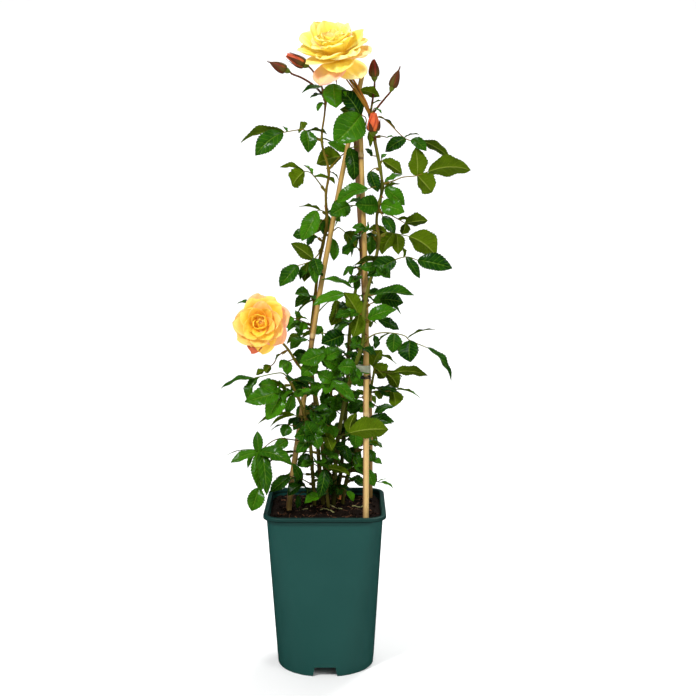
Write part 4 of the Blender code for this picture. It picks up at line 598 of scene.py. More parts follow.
def leafBlade(base, tip, turn, width, fresh, rng):
    # point = base + axis * share * length + across * c * width(share) + normal * (arch + fold + waves)
    length = np.linalg.norm(tip - base)
    axis = (tip - base) / length
    toEye = eye - (base + tip) / 2
    toEye = unit(toEye - axis * (toEye @ axis))
    side = np.cross(axis, toEye)
    if side[0] * 0.35 + side[2] < 0:
        side = -side
    upper = toEye * math.cos(math.radians(turn)) + side * math.sin(math.radians(turn))
    teeth = int(np.clip(round(length / leaf["toothPitch"]), 4, 14))
    tooth, part = np.divmod(np.arange(teeth * 3), 3)
    share = (tooth + np.array([0.08, 0.55, 0.93])[part]) / teeth
    depth = leaf["toothDepth"] * min(1, leaf["fullTeeth"] / width)
    jag = 1 + depth * np.array([-0.8, 0.2, 1.0])[part] * (1 - 0.4 * share)
    half = width * leaf["breadth"] / 2 * leafWidth(share) * jag
    sway = leaf["twist"] * rng.uniform(-1, 1) * (share - 0.4)
    across = np.cross(upper, axis)
    normal = upper[None, :] * np.cos(sway)[:, None] + across[None, :] * np.sin(sway)[:, None]
    sideways = np.cross(normal, axis)
    bow = length * rng.uniform(-leaf["bow"], leaf["bow"]) * np.sin(math.pi * share)
    middle = base + axis * (share * length)[:, None] + across * bow[:, None]
    middle = middle + upper * (length * leaf["arch"] * share * (1 - share))[:, None]
    c = np.array(leaf["columns"])[None, :]
    waves = rng.uniform(1.2, 2.6), rng.uniform(0, math.tau), rng.uniform(0, math.tau)
    ridge = np.where(c < 0, waves[1], waves[2]) + math.tau * waves[0] * share[:, None]
    bend = np.abs(c) * half[:, None] * leaf["fold"] * rng.uniform(0.4, 1.6)
    bend = bend + leaf["edgeWave"] * width * np.sin(ridge) * c**2 * np.sin(math.pi * share[:, None])
    between = np.abs(np.sin(math.pi * (share[:, None] * leaf["veins"] - np.abs(c) * leaf["veinSlant"])))
    relief = leaf["veinRelief"] * (width / 0.02)
    bend = bend + relief * between * (1 - c**2) * np.minimum(1, np.abs(c) * 6)
    look = (fresh, rng.uniform(0, 1), 0)
    seed = rng.uniform(0, 1)
    return blade(middle, half, sideways, normal, c[0], leaf["thickness"], bend, look, seed, leaf["rib"])


leafStem = {"radius": 0.0011, "taper": 0.4, "sides": 8}
stipule = {"length": 0.011, "width": 0.0016, "thickness": 0.0004, "leastStalk": 0.012, "rows": 9}


def leafStalk(points, redness, rng):
    # a tube along the stalk's curve: radius * (1 - taper * s) * (1 + half as much again at its very foot)
    count = max(6, len(points) * 4)
    path = smoothPath(points, count)
    share = np.linspace(0, 1, count)
    radii = leafStem["radius"] * (1 - leafStem["taper"] * share) * (1 + 0.5 * np.exp(-share * 14))
    return tube(path, radii, leafStem["sides"], (redness, 0, rng.uniform(0, 0.6)))


def stipules(points, rng):
    # two narrow wings along the stalk's foot: path = foot + way * s * length + out * width * s ^ 2
    steps = np.linspace(0, 1, stipule["rows"])
    length = min(stipule["length"], np.linalg.norm(points[-1] - points[0]) * 0.5)
    way = unit(points[1] - points[0])
    half = stipule["width"] * np.sin(math.pi * np.clip(steps * 0.93 + 0.05, 0, 1)) ** 0.6
    made = []
    for sign in (-1, 1):
        out = unit(np.cross(way, unit(eye - points[0]))) * sign
        path = points[0] + way * (steps * length)[:, None] + out * (stipule["width"] * steps**2)[:, None]
        face, across = (np.tile(to, (stipule["rows"], 1)) for to in (unit(np.cross(out, way)), out))
        made.append(blade(path, half, across, face, [-1, 0, 1], stipule["thickness"],
                          0 * half[:, None], (0.25, 0, 0.5), rng.uniform(0, 1)))
    return made


def compoundLeaf(stalk, leaflets, fresh, redness, stems, blades, rng):
    # the stalk with its leaflets, each set where the table says along it
    points = place(stalk)
    stems.append(leafStalk(points, redness, rng))
    if np.linalg.norm(points[-1] - points[0]) > stipule["leastStalk"]:
        stems.extend(stipules(points, rng))
    for share, *tip, turn, width in leaflets:
        base, end = along(points, share), place(tip)[0]
        base = base - unit(end - base) * 0.6 * mm
        blades.append(leafBlade(base, end, turn, width * mm, fresh + rng.uniform(-0.1, 0.1), rng))


# Stems

stemShape = {
    "sides": 14, "jointSwell": 0.18, "jointLength": 0.004,
    "pricklePitch": 0.017, "prickleLength": 0.0058, "prickleFoot": 0.0019, "prickleDroop": 0.38,
    "firstLength": 0.0062,  # of the few that stand where the source sets them
    "bare": 0.03,           # free of prickles at each end
}


def prickle(foot, out, up, size, rng):
    # a flat-footed hook: centre line = foot + out * t - up * droop * t ^ 2, width (1 - t) ^ 1.4
    t = np.linspace(0, 1, 7)[:, None]
    path = foot + out * (t * size) - up * (stemShape["prickleDroop"] * size * t**2)
    radii = stemShape["prickleFoot"] * size / stemShape["prickleLength"] * (1 - t[:, 0]) ** 1.4 + 0.00006
    return tube(path, radii, 7, (1, 0, rng.uniform(0, 1)), flat=0.7)


def prickles(points, radii, seed, rng):
    # the few set by the source's own draw, then smaller ones between them, each at a random heading
    made = []

    def addPrickle(path, thick, at, out, size, sink):
        up = unit(path[at + 1] - path[at])
        out = unit(out - up * (out @ up))
        made.append(prickle(path[at] + out * thick[at] * 0.7, unit(out - up * sink), up, size, rng))

    draw = random.Random(seed)
    for number in range(3, len(points) - 2, 5):
        out = np.array([draw.uniform(-1, 1), draw.uniform(-1, 1), 0])
        addPrickle(points, radii, number, out, stemShape["firstLength"], 0.2)
    path = smoothPath(points, 400)
    thick = spread(radii, 400)
    steps = reached(path)
    height = stemShape["bare"]
    while height < steps[-1] - stemShape["bare"]:
        heading = rng.uniform(0, math.tau)
        out = np.array([math.cos(heading), math.sin(heading), 0])
        size = stemShape["prickleLength"] * rng.uniform(0.45, 0.95)
        addPrickle(path, thick, int(np.searchsorted(steps, height)), out, size, 0.15)
        height += stemShape["pricklePitch"] * rng.uniform(0.5, 1.8)
    return made


def mainStem(points, radii, joints, redness, rng):
    # a smooth tube that swells where leaves leave it: radius * (1 + swell * bell at each joint)
    count = len(points) * 6
    path = smoothPath(points, count)
    thick = spread(radii, count)
    for joint in joints:
        away = np.linalg.norm(path - joint, axis=1)
        thick = thick * (1 + stemShape["jointSwell"] * np.exp(-(away / stemShape["jointLength"]) ** 2))
    look = joined(spread(redness, count), 0, rng.uniform(0, 0.4))
    return tube(path, thick, stemShape["sides"], look[:, None, :])


# Buds

budStalks = {
    "leftOuter": [(2, 844, 0), (-6, 855, -3), (-18, 866, -6), (-33, 875, -9), (-46, 880, -11),
                  (-56, 886, -12)],
    "leftInner": [(2, 844, 0), (-2, 857, 8), (-8, 871, 18), (-17, 885, 27), (-29, 894, 31)],
    "rightInner": [(66, 820, -24), (69, 840, -14), (72, 860, -10), (72, 877, -9)],
    "rightOuter": [(66, 820, -24), (76, 832, -20), (86, 844, -16), (98, 862, -14)],
    "front": [(74, 786, -20), (73, 792, -30), (71, 800, -37)],
}
budShapes = {  # tip, greatest width, how far opened, sepals' reach, how orange, how far sepals stand off
    "leftOuter": ((-77, 896, -14), 13.5, 0.15, 1.25, 0.10, 0.0),
    "leftInner": ((-54, 907, 33), 17, 0.55, 0.95, 0.70, 0.5),
    "rightInner": ((71, 901, -10), 14.5, 0.15, 0.98, 0.10, 0.0),
    "rightOuter": ((107, 885, -14), 12.5, 0.10, 1.28, 0.05, 0.0),
    "front": ((71, 825, -42), 20, 0.65, 0.62, 0.75, 0.8),
}


def budFrame(name):
    # the cup's top, the way the bud points, two ways square to it, and its length
    base, tip = place([budStalks[name][-1]])[0], place([budShapes[name][0]])[0]
    return (base, *squareWays(unit(tip - base)), np.linalg.norm(tip - base))


budMake = {
    "petals": 6, "flesh": 0.00022, "cup": 0.29, "cupHeight": 8.8, "sepals": 5, "sepalHalf": 3.3,
    "stalk": (1.75, 1.40),
}


def budRadius(share, width, opened):
    # fullest a quarter up: (share + 0.12) ^ 0.5 * (1 - share) ^ 0.9, that an open bud's tip keeps wide
    belly = (share + 0.12) ** 0.5 * np.clip(1 - share, 0, 1) ** 0.9 / 0.47
    return width / 2 * mm * (belly * (1 - opened * share) + 0.55 * opened * share)


def budPetals(name):
    # petals wrapped on the spindle: radius(share) * (0.95 + 0.075 * c), so that each laps the next,
    # and as far as the bud is open, their tips stand out by share ^ 4; a core fills it
    _, width, opened, _, orange, _ = budShapes[name]
    frameOf = budFrame(name)
    length = frameOf[4]
    rng = np.random.default_rng(len(name) * 7 + int(width))
    share = np.linspace(0.0, 1, 26)[:, None]
    angle = circle(20)[None, :]
    out = budRadius(share * 0.97, width, opened) * 0.90
    out = out * np.sqrt(np.clip(1 - share**14, 0.01, 1)) + 0 * angle
    core = aroundAxis(frameOf, angle + 0 * share, out, (share * length * 0.95 + 0.0003) + 0 * angle)
    sheets = [skin(core, joined(np.cos(angle), share, 0), (orange, 1, 0.3))]
    for petal in range(budMake["petals"]):
        c = np.linspace(-1, 1, 15)[None, :]
        heading = petal * math.tau / budMake["petals"] * 1.02 + 0.4
        rise = share * (1.0 - 0.10 * np.abs(c) ** 3 - 0.03 * (petal % 2))
        wrap = heading + c * 0.90 + 0.8 * share * (1 + 0.3 * opened)
        lift = 0.95 + 0.075 * c + 0.16 * opened * share**4 * (1 - 0.5 * c)
        out = budRadius(rise * 0.98, width, opened) * lift
        flesh = budMake["flesh"] * (1 - np.abs(c) ** 6)
        outer, inner = (aroundAxis(frameOf, wrap, out + sign * flesh, rise * length + 0.0003)
                        for sign in (1, -1))
        sheets.append(twoFaced(outer, inner, c[0], share, rng.uniform(), (orange, 0, rng.uniform(0, 1))))
    return sheets


def sepal(frameOf, heading, share, out, up, half, look, rng):
    # a narrow blade bent round the axis: angle = heading + c * half / out
    c = np.linspace(-1, 1, 7)[None, :]
    span = half[:, None] * c / np.maximum(out, 0.0022)[:, None]
    flesh = 0.00025 * (1 - np.abs(c) ** 4)
    keel = 0.0002 * np.exp(-(c / 0.2) ** 2) * (1 - share)[:, None]
    droop = 0.12 * half[:, None] * c**2
    outer = aroundAxis(frameOf, heading + span, out[:, None] + flesh + keel, up[:, None] - droop)
    inner = aroundAxis(frameOf, heading + span, out[:, None] - flesh, up[:, None] - droop)
    return twoFaced(outer, inner, c[0], share[:, None], rng.uniform(), look)


def budCup(name, rng):
    # the stalk, the swollen cup, and sepals that clasp the petals: out = the bud's radius plus 0.7 mm,
    # standing off by opening * share ^ 3
    _, width, opened, reach, _, opening = budShapes[name]
    frameOf = budFrame(name)
    base, axis, length = frameOf[0], frameOf[1], frameOf[4]
    path = smoothPath(np.concatenate([place(budStalks[name])[:-1], [base - axis * 0.008]]), 26)
    sheets = [tube(path, np.linspace(*budMake["stalk"], 26) * mm, 9, (1, 0, 0))]
    cup = width * budMake["cup"] * mm
    t = np.linspace(0, 1, 14)
    belly = (np.sin(t * math.pi * 0.62) / math.sin(math.pi * 0.62)) ** 1.5
    line = base - axis * (budMake["cupHeight"] * mm * (1 - t))[:, None]
    sheets.append(tube(line, 0.0010 + (cup - 0.0010) * belly, 14, (0.20, 0, 0)))
    share = np.linspace(0, 1, 22)
    rise = -0.09 + share * (reach + 0.09)
    close = budRadius(np.clip(rise, 0, 0.985), width, opened) + 0.0007
    close = np.where(rise < 0, cup + rise * 0.006 + 0.0002, close)
    close = np.where(rise > 1, 0.0009, close)
    half = budMake["sepalHalf"] * mm * np.sin(math.pi * np.clip(0.35 + 0.5 * share, 0, 1))
    half = half * (1 - share**3) + 0.00025
    for number in range(budMake["sepals"]):
        out = close + opening * 0.012 * share**3 * (0.4 + 0.6 * (number % 2))
        red = np.clip(rng.uniform(0.5, 0.95) + 0.8 * share, 0, 1)
        look = joined(red, 0, 0)[:, None, :]
        heading = math.radians(72 * number + 30)
        sheets.append(sepal(frameOf, heading, share, out, rise * length, half, look, rng))
    return sheets


# Blooms

topBloom = {
    "stalk": [(65, 824, -24), (59, 838, -28), (50, 853, -30), (40, 868, -27), (31, 881, -21), (22, 893, -16)],
    "facing": (-0.22, -0.44, 0.87), "seed": 21, "sepals": 0.026, "ruffle": 0.115,
    "outer": [  # heading, length, slopes at the foot and at the rim, width, cupping, rim roll, how flushed
        (222, 51, 84, 126, 64, 0.10, 0.12, 0.9), (298, 48, 92, 142, 52, 0.10, 0.12, 0.4),
        (262, 48, 62, 108, 54, 0.12, 0.16, 0.2), (200, 54, 54, 86, 52, 0.12, 0.14, 0.4),
        (178, 60, 46, 70, 56, 0.14, 0.12, 0.2), (142, 70, 36, 56, 62, 0.14, 0.10, 0.1),
        (120, 66, 26, 40, 46, 0.16, 0.10, 0.1),
        (318, 53, 64, 98, 54, 0.12, 0.12, 0.6), (344, 54, 50, 78, 54, 0.14, 0.12, 0.3),
        (8, 56, 42, 64, 56, 0.16, 0.10, 0.1), (28, 58, 26, 40, 40, 0.20, 0.06, 0.1),
        (66, 56, 28, 40, 52, 0.16, 0.08, 0.1), (104, 60, 22, 34, 56, 0.16, 0.08, 0.1),
        (236, 50, 44, 88, 54, 0.14, 0.16, 0.1), (292, 49, 46, 86, 52, 0.14, 0.14, 0.2),
        (276, 47, 25, 21, 38, 0.26, 0.04, 0.0),
        (52, 50, 52, 80, 52, 0.12, 0.14, 0.5), (88, 56, 54, 82, 56, 0.12, 0.14, 0.2),
        (122, 50, 52, 80, 52, 0.12, 0.14, 0.6),
    ],
    "rings": [  # petals, then the same from the length to the rim roll
        (6, 51, 32, 50, 48, 0.20, 0.16), (5, 51, 24, 36, 46, 0.24, 0.12), (5, 49, 17, 26, 42, 0.28, 0.08),
        (4, 45, 11, 18, 34, 0.34, 0.04), (3, 40, 6, 9, 26, 0.40, 0.0),
    ],
    "bundle": [  # stalks beside the bloom's own: heading, reach along it, how far out, redness
        (20, 0.80, 4.6, 0.2), (75, 0.95, 3.4, 0.8), (150, 0.70, 4.0, 0.35), (200, 0.88, 5.0, 0.9),
        (290, 0.62, 3.2, 0.5),
    ],
}
lowBloom = {
    "stalk": [(-74, 500, -34), (-85, 510, -36), (-92, 518, -44)],
    "facing": (-0.10, -0.97, 0.20), "seed": 22, "sepals": 0.022, "ruffle": 0.050,
    "outer": [
        (5, 44, 58, 92, 54, 0.12, 0.12, 0.8), (88, 43, 60, 98, 54, 0.10, 0.14, 0.6),
        (163, 45, 66, 104, 30, 0.10, 0.10, 2.0), (182, 43, 62, 100, 50, 0.12, 0.12, 0.3),
        (226, 44, 60, 98, 50, 0.12, 0.14, 0.9), (285, 43, 56, 88, 50, 0.14, 0.16, 1.0),
        (330, 43, 54, 88, 50, 0.14, 0.12, 0.3), (125, 42, 58, 94, 48, 0.12, 0.12, 0.5),
    ],
    "rings": [
        (5, 40, 48, 76, 46, 0.16, 0.12), (5, 37, 42, 58, 42, 0.20, 0.08), (5, 34, 40, 34, 38, 0.24, 0.04),
        (4, 31, 42, -4, 34, 0.28, 0.0), (4, 28, 50, -52, 28, 0.30, 0.0),
    ],
    "bundle": [],
}


petalShape = {"footRadius": 0.0015, "footHeight": 0.001, "tightest": 0.010, "flesh": 0.00032}


def bloomPetal(frameOf, heading, shape, look, ruffle, rng):
    # the mid line leaves the heart at the foot slope and bends evenly to the rim slope; across it the
    # petal bends round the axis: angle = heading + c * half / radius, cupped by c ^ 2, rolled back by
    # c ^ 3 and waved towards the rim
    length, footSlope, rimSlope, width, cup, roll = shape
    length, width = length * mm * rng.uniform(0.93, 1.04), width * mm * rng.uniform(0.94, 1.05)
    t = np.linspace(0, 1, 21)
    share = 1 - (1 - t) ** 1.45
    slope = np.radians(footSlope + (rimSlope - footSlope) * share**1.3 + rng.uniform(-4, 4))
    step = np.diff(share, prepend=0) * length
    radius = petalShape["footRadius"] + np.cumsum(np.sin(slope) * step)
    height = petalShape["footHeight"] + np.cumsum(np.cos(slope) * step)
    half = width / 2 * (0.24 + 0.76 * np.sin(np.clip(share / 0.62, 0, 1) * math.pi / 2))
    half = half * np.sqrt(np.clip(1 - (np.clip(share - 0.55, 0, 1) / 0.452) ** 2.6, 0.0004, 1))
    c = np.linspace(-1, 1, 17)[None, :]
    span = c * half[:, None] / np.maximum(radius, petalShape["tightest"])[:, None]
    phase = rng.uniform(0, math.tau, 4)
    wave = np.sin(2.2 * math.pi * c + phase[0]) + 0.7 * np.sin(3.9 * math.pi * c + phase[1])
    wave = ruffle * (wave + 0.5 * np.sin(math.tau * 1.4 * share[:, None] + 2 * c + phase[3]))
    rise = cup * c**2 - roll * np.abs(c) ** 3 * share[:, None] + wave * share[:, None] ** 2.5
    rise = rise * half[:, None]
    rise = rise + 0.03 * length * np.sin(phase[2] + math.tau * share[:, None]) * share[:, None]
    lean, straight = np.cos(slope)[:, None], np.sin(slope)[:, None]
    out = radius[:, None] * (1 + 0.05 * c) - lean * rise
    up = height[:, None] + straight * rise - 0.06 * length * share[:, None] * np.abs(c) * lean
    flesh = (petalShape["flesh"] * (1 - 0.4 * share))[:, None] * (1 - np.abs(c) ** 6)
    faces = [aroundAxis(frameOf, heading + span, out - sign * lean * flesh, up + sign * straight * flesh)
             for sign in (1, -1)]
    return twoFaced(*faces, c[0], share[:, None], rng.uniform(), look)


def bloomPetals(bloom):
    # the outer petals where they are set, then rings of petals inwards, each ring turned half a petal
    # from the last, round a small heart
    rng = np.random.default_rng(bloom["seed"])
    facing = unit(np.array(bloom["facing"]))
    foot = place([bloom["stalk"][-1]])[0] + facing * 0.0042
    frameOf = (foot, *squareWays(facing))
    sheets = []
    ruffle = bloom["ruffle"]
    for degrees, *shape, flush in bloom["outer"]:
        sheets.append(bloomPetal(frameOf, math.radians(degrees), shape, (0, flush, 0), ruffle, rng))
    heading = 0.3
    for number, (count, *shape) in enumerate(bloom["rings"]):
        layer = (number + 1) / len(bloom["rings"])
        for _ in range(count):
            look = (layer, rng.uniform(0, 0.6), 0)
            sheets.append(bloomPetal(frameOf, heading, shape, look, ruffle * (1 - 0.5 * layer), rng))
            heading += math.tau / count + rng.uniform(-0.14, 0.14)
        heading += math.pi / count
    t = np.linspace(0, 1, 20)
    size = bloom["rings"][-1][1] * mm
    heart = 0.0038 + size * 0.14 * np.sin(math.pi * np.clip(t, 0, 0.97)) ** 0.8
    line = foot + facing * (t * size * 0.8 - 0.0038)[:, None]
    sheets.append(tube(line, heart, 16, (1, 0.5, 0), lobes=3, twist=3))
    return sheets


def stalkBundle(bloom):
    # slender stalks that leave with the bloom's own and part from it: path + out * apart * share ^ 0.6
    path = smoothPath(place(bloom["stalk"]), 60)
    sheets = []
    for degrees, reach, apart, redness in bloom["bundle"]:
        line = path[:int(60 * reach)]
        ways = unit(np.gradient(line, axis=0))
        right = unit(np.cross(ways, [0, 1, 0]))
        turn = math.radians(degrees)
        out = right * math.cos(turn) + np.cross(right, ways) * math.sin(turn)
        share = np.linspace(0, 1, len(line))
        line = line + out * (apart * mm * share**0.6)[:, None]
        sheets.append(tube(line, np.linspace(1.8, 1.0, len(line)) * mm, 9, (redness, 0, 1)))
    return sheets


def bloomCup(bloom, rng):
    # the bloom's stalk, its swollen cup and five sepals bent back under the petals
    facing = unit(np.array(bloom["facing"]))
    top = place([bloom["stalk"][-1]])[0] - facing * 0.0002
    frameOf = (top, *squareWays(facing))
    path = smoothPath(np.concatenate([place(bloom["stalk"])[:-1], [top - facing * 0.012]]), 30)
    sheets = [tube(path, 1.9 * mm, 12, (0.75, 0, rng.uniform(0, 1)))] + stalkBundle(bloom)
    t = np.linspace(0, 1, 16)
    swell = 0.0019 + 0.0028 * np.sin(t * math.pi / 2) ** 2.2
    sheets.append(tube(top - facing * (0.0125 * (1 - t))[:, None], swell, 18, (0.15, 0, rng.uniform(0, 1))))
    size = bloom["sepals"]
    rows = [(0.0034, -0.0022, 0), (0.010, -0.0045, 0), (size * 0.7, -0.011, 0), (size * 0.85, -0.020, 0)]
    out, up, _ = smoothPath(rows, 20).T
    share = np.linspace(0, 1, 20)
    half = 2.9 * mm * (1 - share**1.6) + 0.0003
    for number in range(budMake["sepals"]):
        look = joined(0.3 + 0.4 * share, 0, rng.uniform(0, 1))[:, None, :]
        sheets.append(sepal(frameOf, math.radians(72 * number + 20), share, out, up, half, look, rng))
    return sheets


# Pot and soil

pot = {
    "height": 246, "lipHalf": 90, "lipHeight": 6, "topHalf": 85, "footHalf": 73,
    "topCorner": 22, "footCorner": 68, "wall": 1.8, "floorUnder": 15, "floorTop": 17.2, "centreFoot": 18,
    "notchTop": 15.5, "notchFoot": 18.5, "notchHeight": 14.5, "drainRadius": 5, "drainReach": 46,
    "cornerSteps": 16, "sideSteps": 6, "sharp": 32,
}
soil = {
    "edge": 234, "centre": 240, "rings": 70,
    "clods": [(0.034, 0.0022, 31), (0.013, 0.0016, 32), (0.0052, 0.0011, 33)],  # wavelength, height, draw
    "crumbs": 420, "crumbReach": 0.076,
    "fibres": 190, "fibreReach": 0.074, "fibreLength": (0.004, 0.013), "fibreRadius": (0.0002, 0.0006),
    "twigs": [  # places, radius
        ([(5, 248, 4), (12, 243, -8), (18, 240, -16), (25, 238, -24)], 1.0),
        ([(-8, 238, -20), (0, 241, -20), (5, 240, -24), (9, 232, -30), (13, 222, -40)], 0.9),
        ([(-20, 240, 0), (-28, 236, -14), (-40, 233, -20)], 0.7),
        ([(40, 240, -10), (50, 236, -6), (62, 238, 10)], 0.8),
    ],
}


def roundedSquare(half, corner, height):
    # quarter arcs about (half - corner, half - corner), joined by straight sides cut in equal steps
    angle = np.linspace(0, math.pi / 2, pot["cornerSteps"] + 1)
    arc = (half - corner) + corner * np.stack([np.cos(angle), np.sin(angle)], 1)
    run = np.linspace(0, 1, pot["sideSteps"] + 2)[1:-1, None]
    nextCorner = np.array([-(half - corner), half])
    quarter = np.concatenate([arc, arc[-1] + (nextCorner - arc[-1]) * run])
    turned = [quarter, quarter[:, ::-1] * [-1, 1], -quarter, quarter[:, ::-1] * [1, -1]]
    flat = np.concatenate(turned)
    return np.concatenate([flat, np.full((len(flat), 1), height)], 1) * mm


def roundRing(radius, height):
    # a circle with as many points as the rounded squares
    flat = roundedSquare(radius, radius * 0.98, height)
    return np.concatenate([unit(flat[:, :2]) * radius * mm, flat[:, 2:]], 1)


def potSection(height, inset=0.0):
    # the wall at a height: half width and corner run evenly from the foot to the lip
    share = min(height / (pot["height"] - pot["lipHeight"]), 1)
    half = pot["footHalf"] + (pot["topHalf"] - pot["footHalf"]) * share
    corner = pot["footCorner"] + (pot["topCorner"] - pot["footCorner"]) * share
    return roundedSquare(half - inset, corner - inset, height)


def lipEdge(radius, height, first, last, steps):
    # a rounded edge of the lip: half = lip - radius * (1 - cos(turn)), at height + radius * sin(turn)
    corner = pot["topCorner"] + pot["lipHalf"] - pot["topHalf"]
    turns = np.radians(np.linspace(first, last, steps))
    return [roundedSquare(pot["lipHalf"] - radius + radius * math.cos(turn), corner,
                          height + radius * math.sin(turn)) for turn in turns]


def cutterFrom(name, points, faces):
    mesh = bpy.data.meshes.new(name)
    mesh.from_pydata(points.tolist(), [], faces)
    return addObject(name, mesh)


def potCutters():
    # four blocks that open the skirt's sides and four round drains on the diagonals
    foot, top, height = pot["notchFoot"], pot["notchTop"], pot["notchHeight"]
    block = np.array([
        (-foot, -60, -2), (foot, -60, -2), (top, -60, height), (-top, -60, height),
        (-foot, -80, -2), (foot, -80, -2), (top, -80, height), (-top, -80, height),
    ]) * mm
    blockFaces = [(0, 3, 2, 1), (4, 5, 6, 7), (0, 1, 5, 4), (2, 3, 7, 6), (1, 2, 6, 5), (3, 0, 4, 7)]
    sides = 24
    ring = joined(np.cos(circle(sides)), np.sin(circle(sides)), 0) * pot["drainRadius"]
    wall = [(i, (i + 1) % sides, sides + (i + 1) % sides, sides + i) for i in range(sides)]
    ends = [tuple(range(sides))[::-1], tuple(range(sides, 2 * sides))]
    made = []
    for number in range(4):
        turn = number * math.pi / 2
        x, y = math.cos(turn), math.sin(turn)
        spin = np.array([[x, -y, 0], [y, x, 0], [0, 0, 1]])
        made.append(cutterFrom(f"notch{number}", block @ spin.T, blockFaces))
        diagonal = turn + math.pi / 4
        at = ring + np.array([math.cos(diagonal), math.sin(diagonal), 0]) * pot["drainReach"]
        drain = [at + [0, 0, level] for level in (pot["floorUnder"] - 5, pot["floorTop"] + 5)]
        made.append(cutterFrom(f"drain{number}", np.concatenate(drain) * mm, wall + ends))
    return made


def cutAway(made, cutters):
    # each cutter is taken from the mesh, and the result kept as the mesh
    for cutter in cutters:
        change = made.modifiers.new(cutter.name, "BOOLEAN")
        change.operation, change.solver, change.object = "DIFFERENCE", "EXACT", cutter
    bpy.context.view_layer.update()
    whole = bpy.data.meshes.new_from_object(made.evaluated_get(bpy.context.evaluated_depsgraph_get()))
    made.modifiers.clear()
    made.data = whole
    for cutter in cutters:
        bpy.data.objects.remove(cutter)


def buildPot(material):
    # one closed skin: from the middle under the floor, out and up the wall, over the lip, and down inside
    rim, under = pot["height"], pot["height"] - pot["lipHeight"]
    lipCorner = pot["topCorner"] + pot["lipHalf"] - pot["topHalf"]
    inner, innerCorner = pot["topHalf"] - pot["wall"], pot["topCorner"] - pot["wall"]
    rings = [roundRing(pot["centreFoot"] - 1, 0), roundRing(pot["centreFoot"], 1)]
    rings.append(roundRing(pot["centreFoot"], pot["floorUnder"]))
    rings += [potSection(pot["floorUnder"], pot["wall"]), potSection(0, pot["wall"]), potSection(0, 0.6)]
    rings += [potSection(height) for height in (1.2, *np.linspace(6, under - 1.2, 22), under)]
    rings += lipEdge(1.2, under + 1.2, -70, 0, 5) + lipEdge(1.6, rim - 1.6, 0, 90, 7)
    rings += [roundedSquare(*row) for row in (
        (pot["lipHalf"] - 2.5, lipCorner - 0.9, rim), (inner + 1.2, innerCorner + 1.0, rim),
        (inner + 0.4, innerCorner + 0.3, rim - 0.3), (inner, innerCorner, rim - 1.0),
        (inner, innerCorner, under))]
    rings.append(potSection(pot["floorTop"], pot["wall"] + 0.6))
    rings = np.array(rings)
    places = np.zeros((len(rings), 1, 3))
    places[-3:, :, 0] = 1  # the inner wall, painted in shade
    high = rings[..., 2].mean(1) > (rim - 0.9) * mm
    wide = np.abs(rings[..., 0]).max(1) > (pot["lipHalf"] - 1.8) * mm
    places[high & wide, :, 1] = 1  # the lip's outer curve, where a highlight is painted
    made = makePiece("potShell", [skin(rings, places, (0, 0, 0))], material, ["pot"], pot["sharp"])
    cutAway(made, potCutters())
    made.data.set_sharp_from_angle(angle=math.radians(pot["sharp"]))


def soilHeight(points):
    # from the edge's height up to the centre's by 1 - share ^ 2, plus clods: ripples of three sizes
    share = np.abs(points[:, :2]).max(1) / (pot["topHalf"] * mm)
    height = (soil["centre"] + (soil["edge"] - soil["centre"]) * np.minimum(share, 1) ** 2) * mm
    for wavelength, tall, draw in soil["clods"]:
        height = height + tall * ripple(points * [1, 1, 0], wavelength, draw)
    return height


def onSoil(reach, rng):
    # a random place in a square of this half width, at height 0
    return rng.uniform(-reach, reach, 3) * [1, 1, 0]


def buildSoil(soilFinish, woodFinish):
    # the bed is rings from the pot's floor up and in to its middle; crumbs are knobs sunk in it:
    # radius = size * sqrt(1 - t ^ 2); fibres and twigs are thin tubes that lie along its surface
    rng = np.random.default_rng(41)
    low = potSection(pot["floorTop"] + 0.3, pot["wall"] + 0.9)
    edge = potSection(soil["edge"], pot["wall"] + 0.3)
    top = edge * [1, 1, 0] * np.linspace(1, 0.012, soil["rings"])[:, None, None]
    top[..., 2] = soilHeight(top.reshape(-1, 3)).reshape(top.shape[:2])
    sheets = [skin(np.concatenate([low[None], top]), (0, 0, 0), (0, 0, 0))]
    t = np.linspace(-0.8, 0.8, 4)
    for _ in range(soil["crumbs"]):
        at = onSoil(soil["crumbReach"], rng)
        size = 0.0008 + 0.0026 * rng.random() ** 3
        axis = unit(rng.normal(size=3))
        path = at + [0, 0, soilHeight(at[None])[0] + size * 0.2] + axis * (t * size)[:, None]
        radii = size * np.sqrt(1 - t**2) * rng.uniform(0.6, 1.1, 4)
        sheets.append(tube(path, radii, 6, (rng.random(), 0, 0)))
    makePiece("soilBed", sheets, soilFinish, ["soil"], 80)
    fibres = []
    t = np.linspace(-0.5, 0.5, 6)
    for _ in range(soil["fibres"]):
        at = onSoil(soil["fibreReach"], rng)
        heading, length = rng.uniform(0, math.tau), rng.uniform(*soil["fibreLength"])
        bend = rng.uniform(-0.4, 0.4) * length * (t**2 * 4 - 1)
        path = at + joined(math.cos(heading) * t * length - math.sin(heading) * bend,
                           math.sin(heading) * t * length + math.cos(heading) * bend, 0)
        path[:, 2] = soilHeight(path) + 0.0006 + rng.uniform(-0.1, 0.25) * length * t
        fibres.append(tube(path, rng.uniform(*soil["fibreRadius"]), 5, (rng.random(), 0.3, 0)))
    for rows, radius in soil["twigs"]:
        path = smoothPath(place(rows), 26)
        path[:, 2] = soilHeight(path) + 0.0014
        fibres.append(tube(path, radius * mm * np.linspace(1, 0.7, 26), 8, (0.9, 0.9, rng.random())))
    makePiece("strayTwigs", fibres, woodFinish)


fallen = {
    "foot": (0.017, 0.026, 0.2420), "along": (0.75, 0.5, 0.12), "across": (-0.5, 0.75, 0.25),
    "length": 0.017, "half": 0.0058, "curl": 0.020, "thickness": 0.0006, "rows": 22,
}


